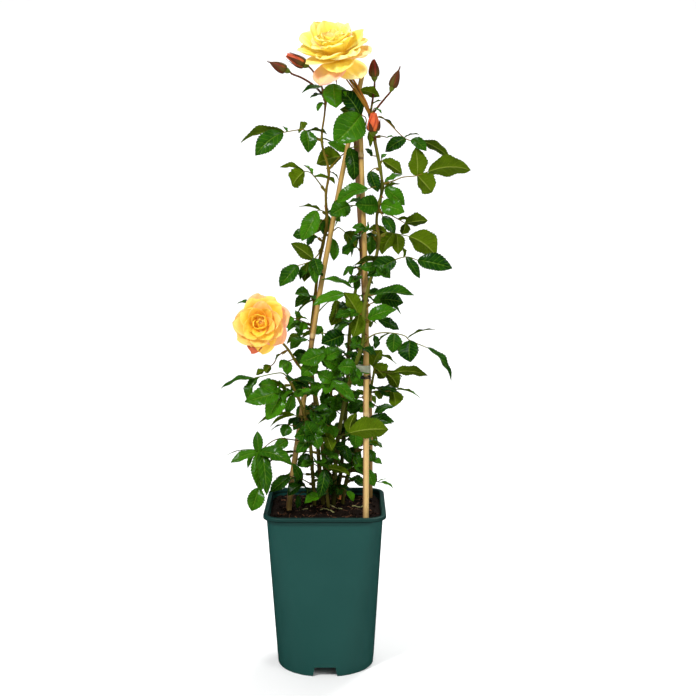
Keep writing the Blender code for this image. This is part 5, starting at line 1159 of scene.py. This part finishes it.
def buildFallenPetal(material):
    # a curled blade that rests on the soil: half width * sin(pi * s ^ 0.8), curled up at both ends
    s = np.linspace(0.02, 0.98, fallen["rows"])
    axis, across = unit(np.array(fallen["along"])), unit(np.array(fallen["across"]))
    middle = fallen["foot"] + axis * (s * fallen["length"])[:, None]
    middle = middle + [0, 0, 1] * (fallen["curl"] * (s - 0.45) ** 2)[:, None]
    half = fallen["half"] * np.sin(math.pi * s**0.8)
    c = np.linspace(-1, 1, 11)
    bend = (0.5 * c[None, :] ** 2 + 0.12 * np.sin(5 * c[None, :] + 9 * s[:, None])) * half[:, None]
    across, normal = (np.tile(to, (fallen["rows"], 1)) for to in (across, unit(np.cross(axis, across))))
    sheet = blade(middle, half, across, normal, c, fallen["thickness"], bend, (0.2, 0.9, 0), 0.3)
    makePiece("fallenPetal", [sheet], material)


# Canes and ties

canes = {  # places, radius at foot and top, heights of the joints, which colouring
    "Left": ([(-63, 140, -12), (-54, 254, -11), (-35, 385, -9), (-12, 540, -7), (22, 720, -2), (56, 886, 2)],
             (4.6, 3.4), (332, 500, 690, 840), 0.1),
    "Right": ([(60, 140, -64), (61, 240, -65), (61, 400, -50), (60, 560, -35), (54, 740, -17), (50, 856, -8)],
              (4.6, 3.6), (390, 570, 764), 0.5),
    # the back cane's colouring of 0.9 paints it in shade
    "Back": ([(64, 180, 56), (67, 270, 59), (66, 400, 46), (58, 560, 33), (47, 750, 18), (43, 858, 12)],
             (4.4, 3.4), (420, 610, 800), 0.9),
}
caneShape = {
    "sides": 26, "rows": 260, "joint": 0.13, "jointLength": 0.0026,
    "groove": 0.05, "grooveUnder": 0.0045, "grooveLength": 0.0012, "uneven": 0.02,
}


def canePoint(name, height):
    # where a cane's middle line is at this height
    points = place(canes[name][0])
    return np.array([np.interp(height, points[:, 2], points[:, k]) for k in range(2)] + [height])


def buildCane(name, material):
    # radius * (1 + joint * bell at each joint) * (1 - groove * narrow bell just under it) * unevenness
    rows, (foot, top), joints, which = canes[name]
    shape = caneShape
    path = smoothPath(place(rows), shape["rows"])
    share = np.linspace(0, 1, len(path))
    joints = np.array(joints) * mm
    away = path[:, 2] - joints[np.abs(path[:, 2:3] - joints).argmin(1)]
    radii = (foot + (top - foot) * share) * mm
    radii = radii * (1 + shape["joint"] * np.exp(-(away / shape["jointLength"]) ** 2))
    under = (away + shape["grooveUnder"]) / shape["grooveLength"]
    radii = radii * (1 - shape["groove"] * np.exp(-under**2))
    radii = radii * (1 + shape["uneven"] * ripple(path, 0.06, len(name)))
    look = joined(np.clip(away / 0.03, -1, 1), share, which)
    sheet = tube(path, radii, shape["sides"], look[:, None, :])
    centre = np.concatenate([np.repeat(path, shape["sides"], 0), path[[0, -1]]])
    sheet["spot"][:, 0] = (sheet["points"] - centre)[:, 0] / (foot * mm)  # -1 at its left to 1 at its right
    makePiece("cane" + name, [sheet], material, ["cane_" + name.lower()], 50)


def wrapPath(centres, reach, turns, low, high, step):
    # a line wound tightly round upright rods: at each heading it touches the rod that stands out most
    heading = np.linspace(0, math.tau * turns, int(400 * turns))
    way = np.stack([np.cos(heading), np.sin(heading)], 1)
    centres = np.array(centres)[:, :2]
    touched = centres[(way @ centres.T).argmax(1)]
    reach = np.interp(heading, [0, heading[-1]], np.broadcast_to(reach, 2))
    heights = np.linspace(low, high, len(heading))
    path = np.concatenate([touched + way * reach[:, None], heights[:, None]], 1)
    steps = reached(path)
    even = np.arange(0, steps[-1], step)
    return np.stack([np.interp(even, steps, path[:, k]) for k in range(3)], 1)


twine = {
    "height": 0.842, "wound": (0.0047, 3.2, 0.8392, 0.8448),  # how far out, turns, from and up to
    "step": 0.0005, "radius": 0.0010, "lay": 0.0042, "endRadius": 0.0009, "sides": 12, "strands": 3,
}


def buildTwine(material):
    # three-stranded twine wound round the canes, with two loose ends and a knot: a figure of eight
    path = wrapPath([canePoint(name, twine["height"]) for name in canes], *twine["wound"], twine["step"])
    twist = len(path) * twine["step"] / twine["lay"] * math.tau
    sheets = [tube(path, twine["radius"], twine["sides"], lobes=twine["strands"], twist=twist)]
    knot = path[-1]
    t = np.linspace(0, 1, 30)[:, None]
    ends = [(knot + [sign * 0.004, -0.003, -0.012] * t + [sign * 0.004, 0, 0.004] * np.sin(t * math.pi), 22)
            for sign in (-1, 1)]
    angle = np.linspace(0, math.tau * 1.7, 90)
    loop = joined(0.0026 * np.cos(angle), 0.0018 * np.sin(angle * 2) - 0.001, 0.0024 * np.sin(angle))
    for line, twist in ends + [(knot + loop, 30)]:
        sheets.append(tube(line, twine["endRadius"], twine["sides"], lobes=twine["strands"], twist=twist))
    makePiece("twineTie", sheets, material, ["cane_tie"])


tape = {
    "low": 0.452, "high": 0.463, "stem": (43.7, 451, -40.6), "reach": (0.0066, 0.0070), "turns": 1.16,
    "step": 0.0012, "flesh": 0.00022, "crease": 0.00035, "pucker": 0.0003,
}
wire = {  # how far out, turns, from and up to, distance between points
    "lower": (0.0062, 2.1, 0.4425, 0.4470, 0.0010), "upper": (0.0049, 2.2, 0.5545, 0.5575, 0.0008),
    "upperHeight": 0.556, "lowerRadius": 0.0007, "upperRadius": 0.0006, "tipRadius": 0.0005, "sides": 8,
}


def buildTape(tapeFinish, wireFinish):
    # a band wound once round the cane and the stem, creased and puckered; wire rings just below it and
    # higher on the cane
    middle = (tape["low"] + tape["high"]) / 2
    centres = [canePoint("Right", middle), place([tape["stem"]])[0]]
    path = wrapPath(centres, tape["reach"], tape["turns"], middle, middle, tape["step"])
    out = np.cross(unit(np.gradient(path, axis=0)), [0, 0, 1])[:, None]
    c = np.linspace(-1, 1, 9)
    sheet = path[:, None] + [0, 0, 1] * ((tape["high"] - tape["low"]) / 2 * c)[:, None]
    crease = tape["crease"] * ripple(path, 0.012, 61)[:, None]
    faces = []
    for sign in (1, -1):
        face = sheet + out * (sign * tape["flesh"] * (1 - np.abs(c) ** 8) + crease)[..., None]
        pucker = tape["pucker"] * ripple(face.reshape(-1, 3), 0.006, 62).reshape(face.shape[:2])
        faces.append(face + out * pucker[..., None])
    band = twoFaced(*faces, c, np.linspace(0, 1, len(path))[:, None], 0, (0, 0, 0))
    makePiece("tapeBand", [band], tapeFinish, ["tape_tie"], 50)
    wound = wrapPath(centres, *wire["lower"])
    t = np.linspace(0, 1, 40)[:, None]
    slack = wound[-1] + [0.004, -0.006, -0.002] * t + [-0.006, -0.004, 0.003] * np.sin(t * math.pi)
    upper = wrapPath([canePoint("Right", wire["upperHeight"])], *wire["upper"])
    tip = np.linspace(wire["lowerRadius"], wire["tipRadius"], 40)
    sheets = [tube(line, radius, wire["sides"]) for line, radius in (
        (wound, wire["lowerRadius"]), (slack, tip), (upper, wire["upperRadius"]))]
    makePiece("wireTie", sheets, wireFinish)


# Finishes

def leafMaterial():
    # look = (how fresh, chance, 0), spot = (from rim to rim, from foot to tip, seed)
    made, flow, where, plug = newMaterial("roseLeaf", {"Specular IOR Level": 0.05, "Coat Roughness": 0.20})
    across, share, _ = flow.guide("spot")
    fresh, chance, _ = flow.guide("look")
    upper = flow.upperFace()
    side = across.size()
    midrib = 1 - side.between(0.025, 0.085)
    slant = share * leaf["veins"] - side * leaf["veinSlant"]
    lateral = (1 - slant.wave().between(0.04, 0.26)) * (1 - side.between(0.72, 0.98))
    netting = flow.node("TexVoronoi", {"feature": "DISTANCE_TO_EDGE"}, {"Vector": where, "Scale": 420.0})
    net = 1 - netting.between(0.0, 0.14)
    clouds = where.noise(60.0, 4.0)
    mottled = clouds.between(0.3, 0.75)
    tone = (fresh + (mottled - 0.5) * 0.25).clampedSum((chance - 0.5) * 0.2)
    top = coated(tone.blend((0.0034, 0.034, 0.0006), (0.064, 0.244, 0.0012)),
                 (lateral * (0.36 + fresh * 0.3), (0.095, 0.250, 0.010)),
                 (midrib * 0.60, (0.125, 0.250, 0.015)))
    below = coated(tone.blend((0.028, 0.054, 0.0005), (0.100, 0.172, 0.0012)),
                   (lateral * 0.35, (0.130, 0.190, 0.005)),
                   (midrib * 0.75, (0.220, 0.280, 0.035)))
    colour = coated(upper.blend(below, top), (side.between(0.93, 1.0) * 0.5, (0.075, 0.060, 0.020)))
    relief = lateral * -0.8 + net * -0.25 - midrib * 0.6 + clouds * 0.3
    plug({"Base Color": colour, "Roughness": 0.62 - upper * 0.12,
          "Coat Weight": upper * (0.24 - mottled * 0.15),
          "Normal": (relief * (upper * 2 - 1)).bump(0.75, 0.0014)})
    return made


def stemMaterial():
    # look = (how red, 0, how orange)
    made, flow, where, plug = newMaterial("roseStem", {"Specular IOR Level": 0.08})
    red, _, orange = flow.guide("look")
    clouds = where.noise(90.0, 4.0, (1, 1, 0.25))
    streaks = where.noise(700.0, 2.0, (1, 1, 0.06))
    green = clouds.blend((0.050, 0.100, 0.006), (0.135, 0.205, 0.016))
    ruddy = clouds.blend((0.042, 0.010, 0.006), (0.140, 0.040, 0.015))
    paintedShade = 1 - where.parts()[2].between(0.26, 0.52)  # painted shade: stems darker low in the crowd, where the leaves shade them
    colour = coated(green,
                    (red.clampedSum((clouds - 0.5) * 0.5), ruddy),
                    (orange * 0.60, (0.360, 0.130, 0.014)),
                    (streaks.between(0.5, 0.8) * 0.25, (0.05, 0.040, 0.012)),
                    (paintedShade * 0.7, (0.030, 0.034, 0.007)))
    plug({"Base Color": colour, "Roughness": 0.48 + clouds * 0.2,
          "Normal": (streaks + clouds).bump(0.35, 0.0006)})
    return made


# back is the colour of the petals' backs near the foot, partly painted shade
petalColours = {
    "lemonPetal": {
        "heart": (0.82, 0.58, 0.014), "body": (0.83, 0.66, 0.090), "edge": (0.87, 0.79, 0.43),
        "core": (0.82, 0.60, 0.040), "back": (0.78, 0.46, 0.03), "blush": (0.86, 0.39, 0.31), "blushed": 1.0,
    },
    "apricotPetal": {
        "heart": (0.82, 0.27, 0.006), "body": (0.84, 0.51, 0.035), "edge": (0.88, 0.63, 0.17),
        "core": (0.84, 0.45, 0.020), "back": (0.76, 0.29, 0.03), "blush": (0.86, 0.38, 0.26), "blushed": 1.0,
    },
    "driedPetal": {
        "heart": (0.30, 0.085, 0.02), "body": (0.42, 0.15, 0.035), "edge": (0.46, 0.20, 0.06),
        "core": (0.42, 0.15, 0.035), "back": (0.36, 0.11, 0.03), "blush": (0.24, 0.06, 0.02), "blushed": 0.6,
    },
}


def petalMaterial(name):
    # look = (layer from outside 0 to heart 1, how flushed, 0), spot = (across, along, seed)
    paint = petalColours[name]
    # the petals glow a little in their own colour (Emission Strength 0.15): painted light, standing in for
    # light that passes through them
    made, flow, where, plug = newMaterial(name, {
        "Specular IOR Level": 0.12, "Subsurface Weight": 0.25, "Subsurface Radius": (0.5, 0.42, 0.14),
        "Subsurface Scale": 0.004, "Emission Strength": 0.15,
    })
    across, share, seed = flow.guide("spot")
    layer, flushed, _ = flow.guide("look")
    side = across.size()
    fan = flow.node("CombineXYZ", {}, {"X": across * 9 + seed * 40, "Y": share * 1.5, "Z": layer})
    streaks = fan.noise(2.6, 4.0)
    clouds = where.noise(55.0)
    outward = (share * 1.15 - layer * 0.30).clampedSum((clouds - 0.5) * 0.35)
    rim = share.between(0.70, 1.0) + side.between(0.70, 1.0) * 0.6
    rim = flow.maths("MULTIPLY", rim, 1 - layer * 0.6, clamp=True)
    flush = share.between(0.15, 0.80) * (0.65 + side * 0.35) * flushed.between(0.15, 1.0)
    inside = coated(outward.between(0.12, 0.74).blend(paint["heart"], paint["body"]),
                    (rim * (0.55 + (seed - 0.5) * 0.5), paint["edge"]),
                    (streaks.between(0.45, 0.75) * 0.20, paint["heart"]),
                    (layer.between(0.75, 1.0) * share.between(0.35, 0.9) * 0.8, paint["core"]),
                    (flush * paint["blushed"], paint["blush"]),
                    (flushed.between(1.2, 1.8) * 0.9, (0.36, 0.050, 0.018)))
    # the backs: a darker orange towards the foot, partly the petal's own colour and partly painted shade
    behind = coated(share.between(0.25, 0.95).blend(paint["back"], paint["body"]),
                    (flushed.between(0.3, 0.9) * share.between(0.2, 0.9) * paint["blushed"], paint["blush"]))
    colour = flow.upperFace().blend(behind, inside)
    # Emission Color is the petal colour, so the petals glow: painted light
    plug({"Base Color": colour, "Emission Color": colour, "Roughness": 0.55 + streaks * 0.2,
          "Normal": (streaks * 0.6 + clouds * 0.4).bump(0.28, 0.0012)})
    return made


def budMaterial():
    # look = (how orange, 1 on the core and 0 on the petals, chance), spot = (across, along, seed)
    made, flow, where, plug = newMaterial("budPetal", {
        "Specular IOR Level": 0.18, "Subsurface Weight": 0.15, "Subsurface Radius": (0.6, 0.2, 0.08),
        "Subsurface Scale": 0.003,
    })
    across, share, seed = flow.guide("spot")
    orange, core, chance = flow.guide("look")
    clouds = where.noise(120.0)
    fan = flow.node("CombineXYZ", {}, {"X": across * 8 + chance * 30, "Y": share * 2, "Z": seed})
    streaks = fan.noise(2.4)
    deep = clouds.blend((0.085, 0.006, 0.005), (0.190, 0.014, 0.008))
    bright = clouds.blend((0.62, 0.055, 0.016), (0.82, 0.180, 0.045))
    colour = coated(deep,
                    (orange.clampedSum((streaks - 0.5) * 0.5), bright),
                    ((1 - share.between(0.05, 0.55)) * 0.15, (0.80, 0.34, 0.05)),
                    (core * share.between(0.4, 1.0) * 0.6, (0.90, 0.50, 0.10)),
                    (across.size().between(0.72, 1.0) * (1 - core) * 0.75, (0.240, 0.016, 0.010)))
    plug({"Base Color": colour, "Roughness": 0.42 + streaks * 0.2, "Normal": streaks.bump(0.25, 0.001)})
    return made


def bambooMaterial():
    # look = (how far above the nearest joint, along, which cane), spot's first = from left -1 to right 1
    made, flow, where, plug = newMaterial("bambooCane", {"Specular IOR Level": 0.30})
    joint, share, which = flow.guide("look")
    side = flow.guide("spot")[0]
    fibres = where.noise(900.0, 3.0, (1, 1, 0.018))
    stains = where.noise(30.0, 4.0, (1, 1, 0.5))
    flecks = where.noise(420.0, 2.0, (1, 1, 0.35))
    # the right cane paler on its lower part
    paleLowerRight = (1 - share.between(0.30, 0.55)) * which.between(0.15, 0.35) * (1 - which.between(0.6, 0.8))
    # painted shade: the left cane darker on its lower part, down among the leaves
    paintedShade = (1 - share.between(0.10, 0.42)) * (1 - which.between(0.1, 0.4)) * 0.8
    # painted shade down each cane's left side, its edge broken up by the stains
    paintedLeftShade = (side * -1 + (stains - 0.5) * 0.5).between(0.15, 0.95)
    # painted shade: the back cane darker brown, more so higher up, for the shadow it stands in behind the
    # leaves
    paintedBackShade = which.between(0.6, 0.8) * (share.between(0.25, 0.6) * 0.35 + 0.45)
    colour = coated(stains.blend((0.34, 0.20, 0.048), (0.52, 0.355, 0.095)),
                    (paleLowerRight * 0.7, (0.70, 0.49, 0.21)),
                    (fibres.between(0.35, 0.75) * 0.35, (0.42, 0.21, 0.06)),
                    (flecks.between(0.62, 0.76) * stains.between(0.45, 0.7) * 0.6, (0.16, 0.075, 0.025)),
                    (paintedShade, (0.24, 0.17, 0.045)),
                    (paintedLeftShade * 0.75, (0.150, 0.055, 0.026)),
                    (paintedBackShade, (0.110, 0.048, 0.024)),
                    ((1 - (joint + 0.14).size().between(0.02, 0.09)) * 0.8, (0.10, 0.045, 0.018)),
                    ((1 - (joint - 0.05).size().between(0.05, 0.16)) * 0.35, (0.78, 0.60, 0.34)))
    plug({"Base Color": colour, "Roughness": 0.36 + stains * 0.25,
          "Normal": (fibres + flecks * 0.5).bump(0.30, 0.0006)})
    return made


def potMaterial():
    # spot = (1 on the inner wall, painted in shade, 1 on the lip's outer curve, painted with a highlight, 0)
    made, flow, where, plug = newMaterial("potPlastic", {"Specular IOR Level": 0.22})
    inner, paintedLipHighlight, _ = flow.guide("spot")
    clouds = where.noise(14.0, 5.0)
    grain = where.noise(1400.0, 2.0)
    drawn = where.noise(60.0, 3.0, (1, 1, 0.08))
    height = where.parts()[2]
    paintedLipShadow = 1 - (height - 0.2398).size().between(0.0006, 0.0018)  # painted shadow under the lip
    colour = coated(clouds.blend((0.0075, 0.060, 0.051), (0.0100, 0.071, 0.061)),
                    (drawn.between(0.55, 0.9) * 0.10, (0.035, 0.085, 0.075)),
                    # painted shade: the inner wall made nearly black
                    (inner * 0.85, (0.0020, 0.0080, 0.0055)),
                    # painted shade: the lip and everything above 238.5 mm darker
                    (height.between(0.2385, 0.2400) * 0.6, (0.0020, 0.0180, 0.0145)),
                    # painted highlight: a pale line along the lip's outer curve
                    (paintedLipHighlight * 0.55 * (0.4 + clouds), (0.115, 0.250, 0.200)),
                    (paintedLipShadow * 0.85, (0.0008, 0.0060, 0.0045)))
    plug({"Base Color": colour, "Roughness": 0.40 + clouds * 0.10 + drawn * 0.05,
          "Normal": (grain + drawn * 0.6).bump(0.12, 0.0003)})
    return made


def soilMaterial():
    made, _, where, plug = newMaterial("pottingSoil", {"Specular IOR Level": 0.05})
    coarse, fine = where.noise(70.0, 5.0), where.noise(420.0, 5.0)
    colour = coated(coarse.blend((0.0040, 0.0026, 0.0020), (0.016, 0.009, 0.006)),
                    (fine.between(0.58, 0.75) * 0.7, (0.045, 0.020, 0.010)))
    plug({"Base Color": colour, "Roughness": 0.85 + fine * 0.12, "Normal": (fine + coarse).bump(0.9, 0.0022)})
    return made


def twigMaterial():
    # look = (how light, how olive, chance)
    made, flow, where, plug = newMaterial("soilTwigs", {"Specular IOR Level": 0.3})
    light, olive, _ = flow.guide("look")
    clouds = where.noise(200.0)
    colour = coated(light.blend((0.045, 0.018, 0.009), (0.190, 0.080, 0.035)),
                    (olive.between(0.5, 0.8), clouds.blend((0.20, 0.20, 0.07), (0.34, 0.32, 0.13))))
    plug({"Base Color": colour, "Roughness": 0.7 + clouds * 0.2, "Normal": clouds.bump(0.5, 0.0006)})
    return made


def twineMaterial(name, dark, light, rough):
    made, _, where, plug = newMaterial(name, {"Specular IOR Level": 0.3})
    hair, clouds = where.noise(1500.0, 2.0), where.noise(180.0)
    colour = (hair * 0.6 + clouds * 0.4).blend(dark, light)
    plug({"Base Color": colour, "Roughness": rough + hair * 0.1, "Normal": hair.bump(0.6, 0.0004)})
    return made


def tapeMaterial():
    made, _, where, plug = newMaterial("greyTape", {"Specular IOR Level": 0.6})
    clouds = where.noise(160.0)
    colour = clouds.blend((0.16, 0.175, 0.11), (0.31, 0.33, 0.23))
    plug({"Base Color": colour, "Roughness": 0.40 + clouds * 0.2, "Normal": clouds.bump(0.35, 0.0008)})
    return made


# The plant put together

stemParts = {  # route, leaves, draw, redness from foot to top, buds, bloom
    "left": (leftRoute, leftLeaves, 1, (0.35, 0.3, 0.25, 0.3, 0.4, 0.5, 0.1, 0.9),
             ("leftOuter", "leftInner"), None),
    "right": (rightRoute, rightLeaves, 2, (0.5, 0.3, 0.2, 0.35, 0.55, 0.3, 1.0),
              ("rightInner", "rightOuter", "front"), topBloom),
    "middle": (middleRoute, middleLeaves, 3, (0.5, 0.3, 0.2, 0.2, 0.3), (), None),
    "lowLeft": (lowLeftRoute, lowLeftLeaves, 4, (0.4, 0.2, 0.2, 0.3, 0.3), (), None),
    "lowRight": (lowRightRoute, lowRightLeaves, 5, (0.4, 0.2, 0.2, 0.2, 0.2), (), None),
    "lowBloom": (bloomStemRoute, bloomStemLeaves, 6, (0.4, 0.2, 0.1, 0.1, 0.2), (), lowBloom),
}


def routePlace(route, height):
    # the row of a route at this height
    rows = np.array(route, float)
    return np.array([np.interp(height, rows[:, 1], rows[:, k]) for k in range(3)])


def flatWay(heading):
    # a level direction, in rows of the tables: across and behind
    return np.array([math.cos(heading), 0, math.sin(heading)])


def backLeaves():
    # the unseen stem's leaves, right and left by turns, drawn as the source draws them; a stalk is
    # root + way * reach * t, rising by 26 t - 18 t ^ 2
    draw = random.Random(11)
    leaves = []
    for number, height in enumerate([285, 315, 345, 375, 405, 435, 465, 495, 520]):
        root = routePlace(backRoute, height)
        heading = math.radians(40 + 100 * (number % 2) + draw.uniform(-25, 25))
        t = np.linspace(0, 1, 4)[:, None]
        stalk = root + flatWay(heading) * draw.uniform(44, 56) * t + [0, 1, 0] * (26 * t - 18 * t**2)
        leaflets = []
        for share, turn, length, sink, width in ((1, 0, 44, 16, 24), (0.7, -1.1, 36, 8, 22),
                                                 (0.7, 1.1, 36, 8, 22)):
            tip = stalk[0] + (stalk[-1] - stalk[0]) * share + flatWay(heading + turn) * length - [0, sink, 0]
            leaflets.append((share, *tip, 100, width))
        leaves.append((stalk, leaflets))
    return leaves


crowd = {  # the leaves inside it: lowest and highest stalk, how many
    "left": (470, 640, 5), "right": (430, 700, 6), "middle": (262, 640, 19), "lowLeft": (262, 440, 12),
    "lowRight": (262, 420, 12),
}
innerShape = {
    "heading": (math.pi * 0.9, math.tau * 1.05), "stalk": (12, 24), "rise": (-7.2, 14.4),
    # their freshness stays low, so these leaves come out dark: painted shade
    "leaflet": (21, 31), "breadth": (0.55, 0.66), "turn": (20, 70), "fresh": (0.0, 0.35), "fan": 1.15,
}


def innerLeaves(name, route):
    # small leaves close round the stems, kept dark as painted shade inside the crowd: stalk = root + way *
    # reach * t + rise * t, three leaflets
    if name not in crowd:
        return []
    low, high, count = crowd[name]
    shape = innerShape
    rng = np.random.default_rng(60 + count + low)
    leaves = []
    for height in np.linspace(low, high, count) + rng.uniform(-6, 6, count):
        root = routePlace(route, height)
        heading, reach = rng.uniform(*shape["heading"]), rng.uniform(*shape["stalk"])
        t = np.linspace(0, 1, 4)[:, None]
        stalk = root + (flatWay(heading) * reach + [0, rng.uniform(*shape["rise"]), 0]) * t
        leaflets = []
        for share, bend in ((1.0, rng.uniform(-0.3, 0.3)), (0.7, shape["fan"]), (0.7, -shape["fan"])):
            length = rng.uniform(*shape["leaflet"]) * (0.8 + 0.2 * share)
            aim = flatWay(heading + bend) * [1, 1, 0.8] + [0, rng.uniform(-0.8, 0.1), 0]
            tip = stalk[0] + (stalk[-1] - stalk[0]) * share + unit(aim) * length
            turn, width = rng.uniform(*shape["turn"]), length * rng.uniform(*shape["breadth"])
            leaflets.append((share, *tip, turn, width))
        leaves.append((stalk, leaflets, rng.uniform(*shape["fresh"])))
    return leaves


def nodeName(kind, name):
    # as the CAD writes it: lowLeft becomes low_left
    return kind + "".join("_" + letter.lower() if letter.isupper() else letter for letter in name)


def buildStem(name, part, stemFinish, leafFinish):
    route, leaves, seed, redness, buds, bloom = part
    leaves = leaves + innerLeaves(name, route)
    rng = np.random.default_rng(100 + seed)
    rows = np.array(route, float)
    points, radii = place(rows[:, :3]), rows[:, 3] * mm
    stems, blades = [], []
    joints = [place(entry[0])[0] for entry in leaves]
    stems.append(mainStem(points, radii, joints, redness, rng))
    stems += prickles(points, radii, seed, rng)
    for stalk, leaflets, *given in leaves:
        fresh, red = rng.uniform(0.05, 0.7), rng.uniform(0.0, 0.6)
        compoundLeaf(stalk, leaflets, given[0] if given else fresh, red, stems, blades, rng)
    for bud in buds:
        stems += budCup(bud, rng)
    if bloom:
        stems += bloomCup(bloom, rng)
    node = nodeName("leafy_stem_", name)
    makePiece(name + "Stems", stems, stemFinish, [node])
    makePiece(name + "Blades", blades, leafFinish, [node])


def buildPlant():
    finishes = stemMaterial(), leafMaterial()
    for name, part in stemParts.items():
        buildStem(name, part, *finishes)
    buildStem("back", (backRoute, backLeaves(), 7, (0.4, 0.3, 0.2, 0.2), (), None), *finishes)
    lemon, apricot, dried = (petalMaterial(name) for name in petalColours)
    makePiece("topBloomPetals", bloomPetals(topBloom), lemon, ["top_bloom"], 75)
    makePiece("lowBloomPetals", bloomPetals(lowBloom), apricot, ["low_bloom"], 75)
    budFinish = budMaterial()
    for name in budShapes:
        piece = "bud" + name[0].upper() + name[1:]
        makePiece(piece, budPetals(name), budFinish, [nodeName("bud_", name)], 75)
    buildFallenPetal(dried)


# Camera, floor and light

view = {"pitch": -0.139, "sensor": 36, "lens": 36 * 1206 / 696}  # a focal length of 1206 of 696 pixels
studio = {  # place, aimed at, size, watts
    "key": ((-1.1, -1.5, 2.3), (0.0, 0.0, 0.5), 0.50, 60),
    "fill": ((1.7, -1.7, 1.3), (0.0, 0.0, 0.45), 1.0, 20),
    "back": ((0.6, 1.1, 2.4), (0.0, 0.3, 0.5), 1.2, 46),
}
air = 0.38  # the strength of the white light from all round
floorShape = {"half": 5, "front": -4, "back": 1.6, "bend": 0.8, "top": 4, "steps": 25}


def addCamera():
    lens = bpy.data.cameras.new("view")
    lens.sensor_width, lens.lens = view["sensor"], view["lens"]
    seen = addObject("view", lens)
    seen.location = eye
    seen.rotation_euler = (math.pi / 2 + view["pitch"], 0, 0)
    bpy.context.scene.camera = seen


def addLights():
    for name, (at, aim, size, power) in studio.items():
        lamp = bpy.data.lights.new(name, "AREA")
        lamp.shape, lamp.size, lamp.energy = "DISK", size, power
        made = addObject(name, lamp)
        made.location = at
        x, y, z = np.array(at) - np.array(aim)
        made.rotation_euler = (math.atan2(math.hypot(x, y), z), 0, math.atan2(x, -y))
    world = bpy.data.worlds.new("studioAir")
    bpy.context.scene.world = world
    world.use_nodes = True
    background = world.node_tree.nodes["Background"]
    background.inputs["Color"].default_value = (1, 1, 1, 1)
    background.inputs["Strength"].default_value = air
    if hasattr(world, "cycles_visibility"):
        world.cycles_visibility.glossy = False  # only the lamps shine in the leaves


def addFloor():
    # a flat floor that turns up into a wall behind by a quarter circle
    bend, back, rows = floorShape["bend"], floorShape["back"], floorShape["steps"] + 2
    angle = np.linspace(-math.pi / 2, 0, floorShape["steps"])
    ys = np.concatenate([[floorShape["front"]], back + bend * np.cos(angle), [back + bend]])
    zs = np.concatenate([[0], bend + bend * np.sin(angle), [floorShape["top"]]])
    points = np.concatenate([joined(x, ys, zs) for x in (-floorShape["half"], floorShape["half"])])
    faces = [(i, i + rows, i + rows + 1, i + 1) for i in range(rows - 1)]
    mesh = bpy.data.meshes.new("studioFloor")
    mesh.from_pydata(points.tolist(), [], faces)
    mesh.shade_smooth()
    floor = addObject("studioFloor", mesh)
    floor.visible_glossy = False
    paper, _, where, plug = newMaterial("palePaper", {"Roughness": 0.9, "Specular IOR Level": 0.1})
    plug({"Base Color": where.noise(3.0).blend((0.92, 0.92, 0.92), (0.94, 0.94, 0.94))})
    mesh.materials.append(paper)


def main():
    print("pot and soil")
    buildPot(potMaterial())
    buildSoil(soilMaterial(), twigMaterial())
    print("canes and ties")
    bamboo = bambooMaterial()
    for name in canes:
        buildCane(name, bamboo)
    buildTwine(twineMaterial("brownTwine", (0.10, 0.055, 0.025), (0.30, 0.19, 0.10), 0.8))
    buildTape(tapeMaterial(), twineMaterial("darkWire", (0.010, 0.012, 0.010), (0.030, 0.034, 0.030), 0.45))
    print("stems, leaves, buds and blooms")
    buildPlant()
    print("camera, floor and light")
    addCamera()
    addLights()
    addFloor()
    bpy.context.scene.view_settings.view_transform = "Standard"


main()
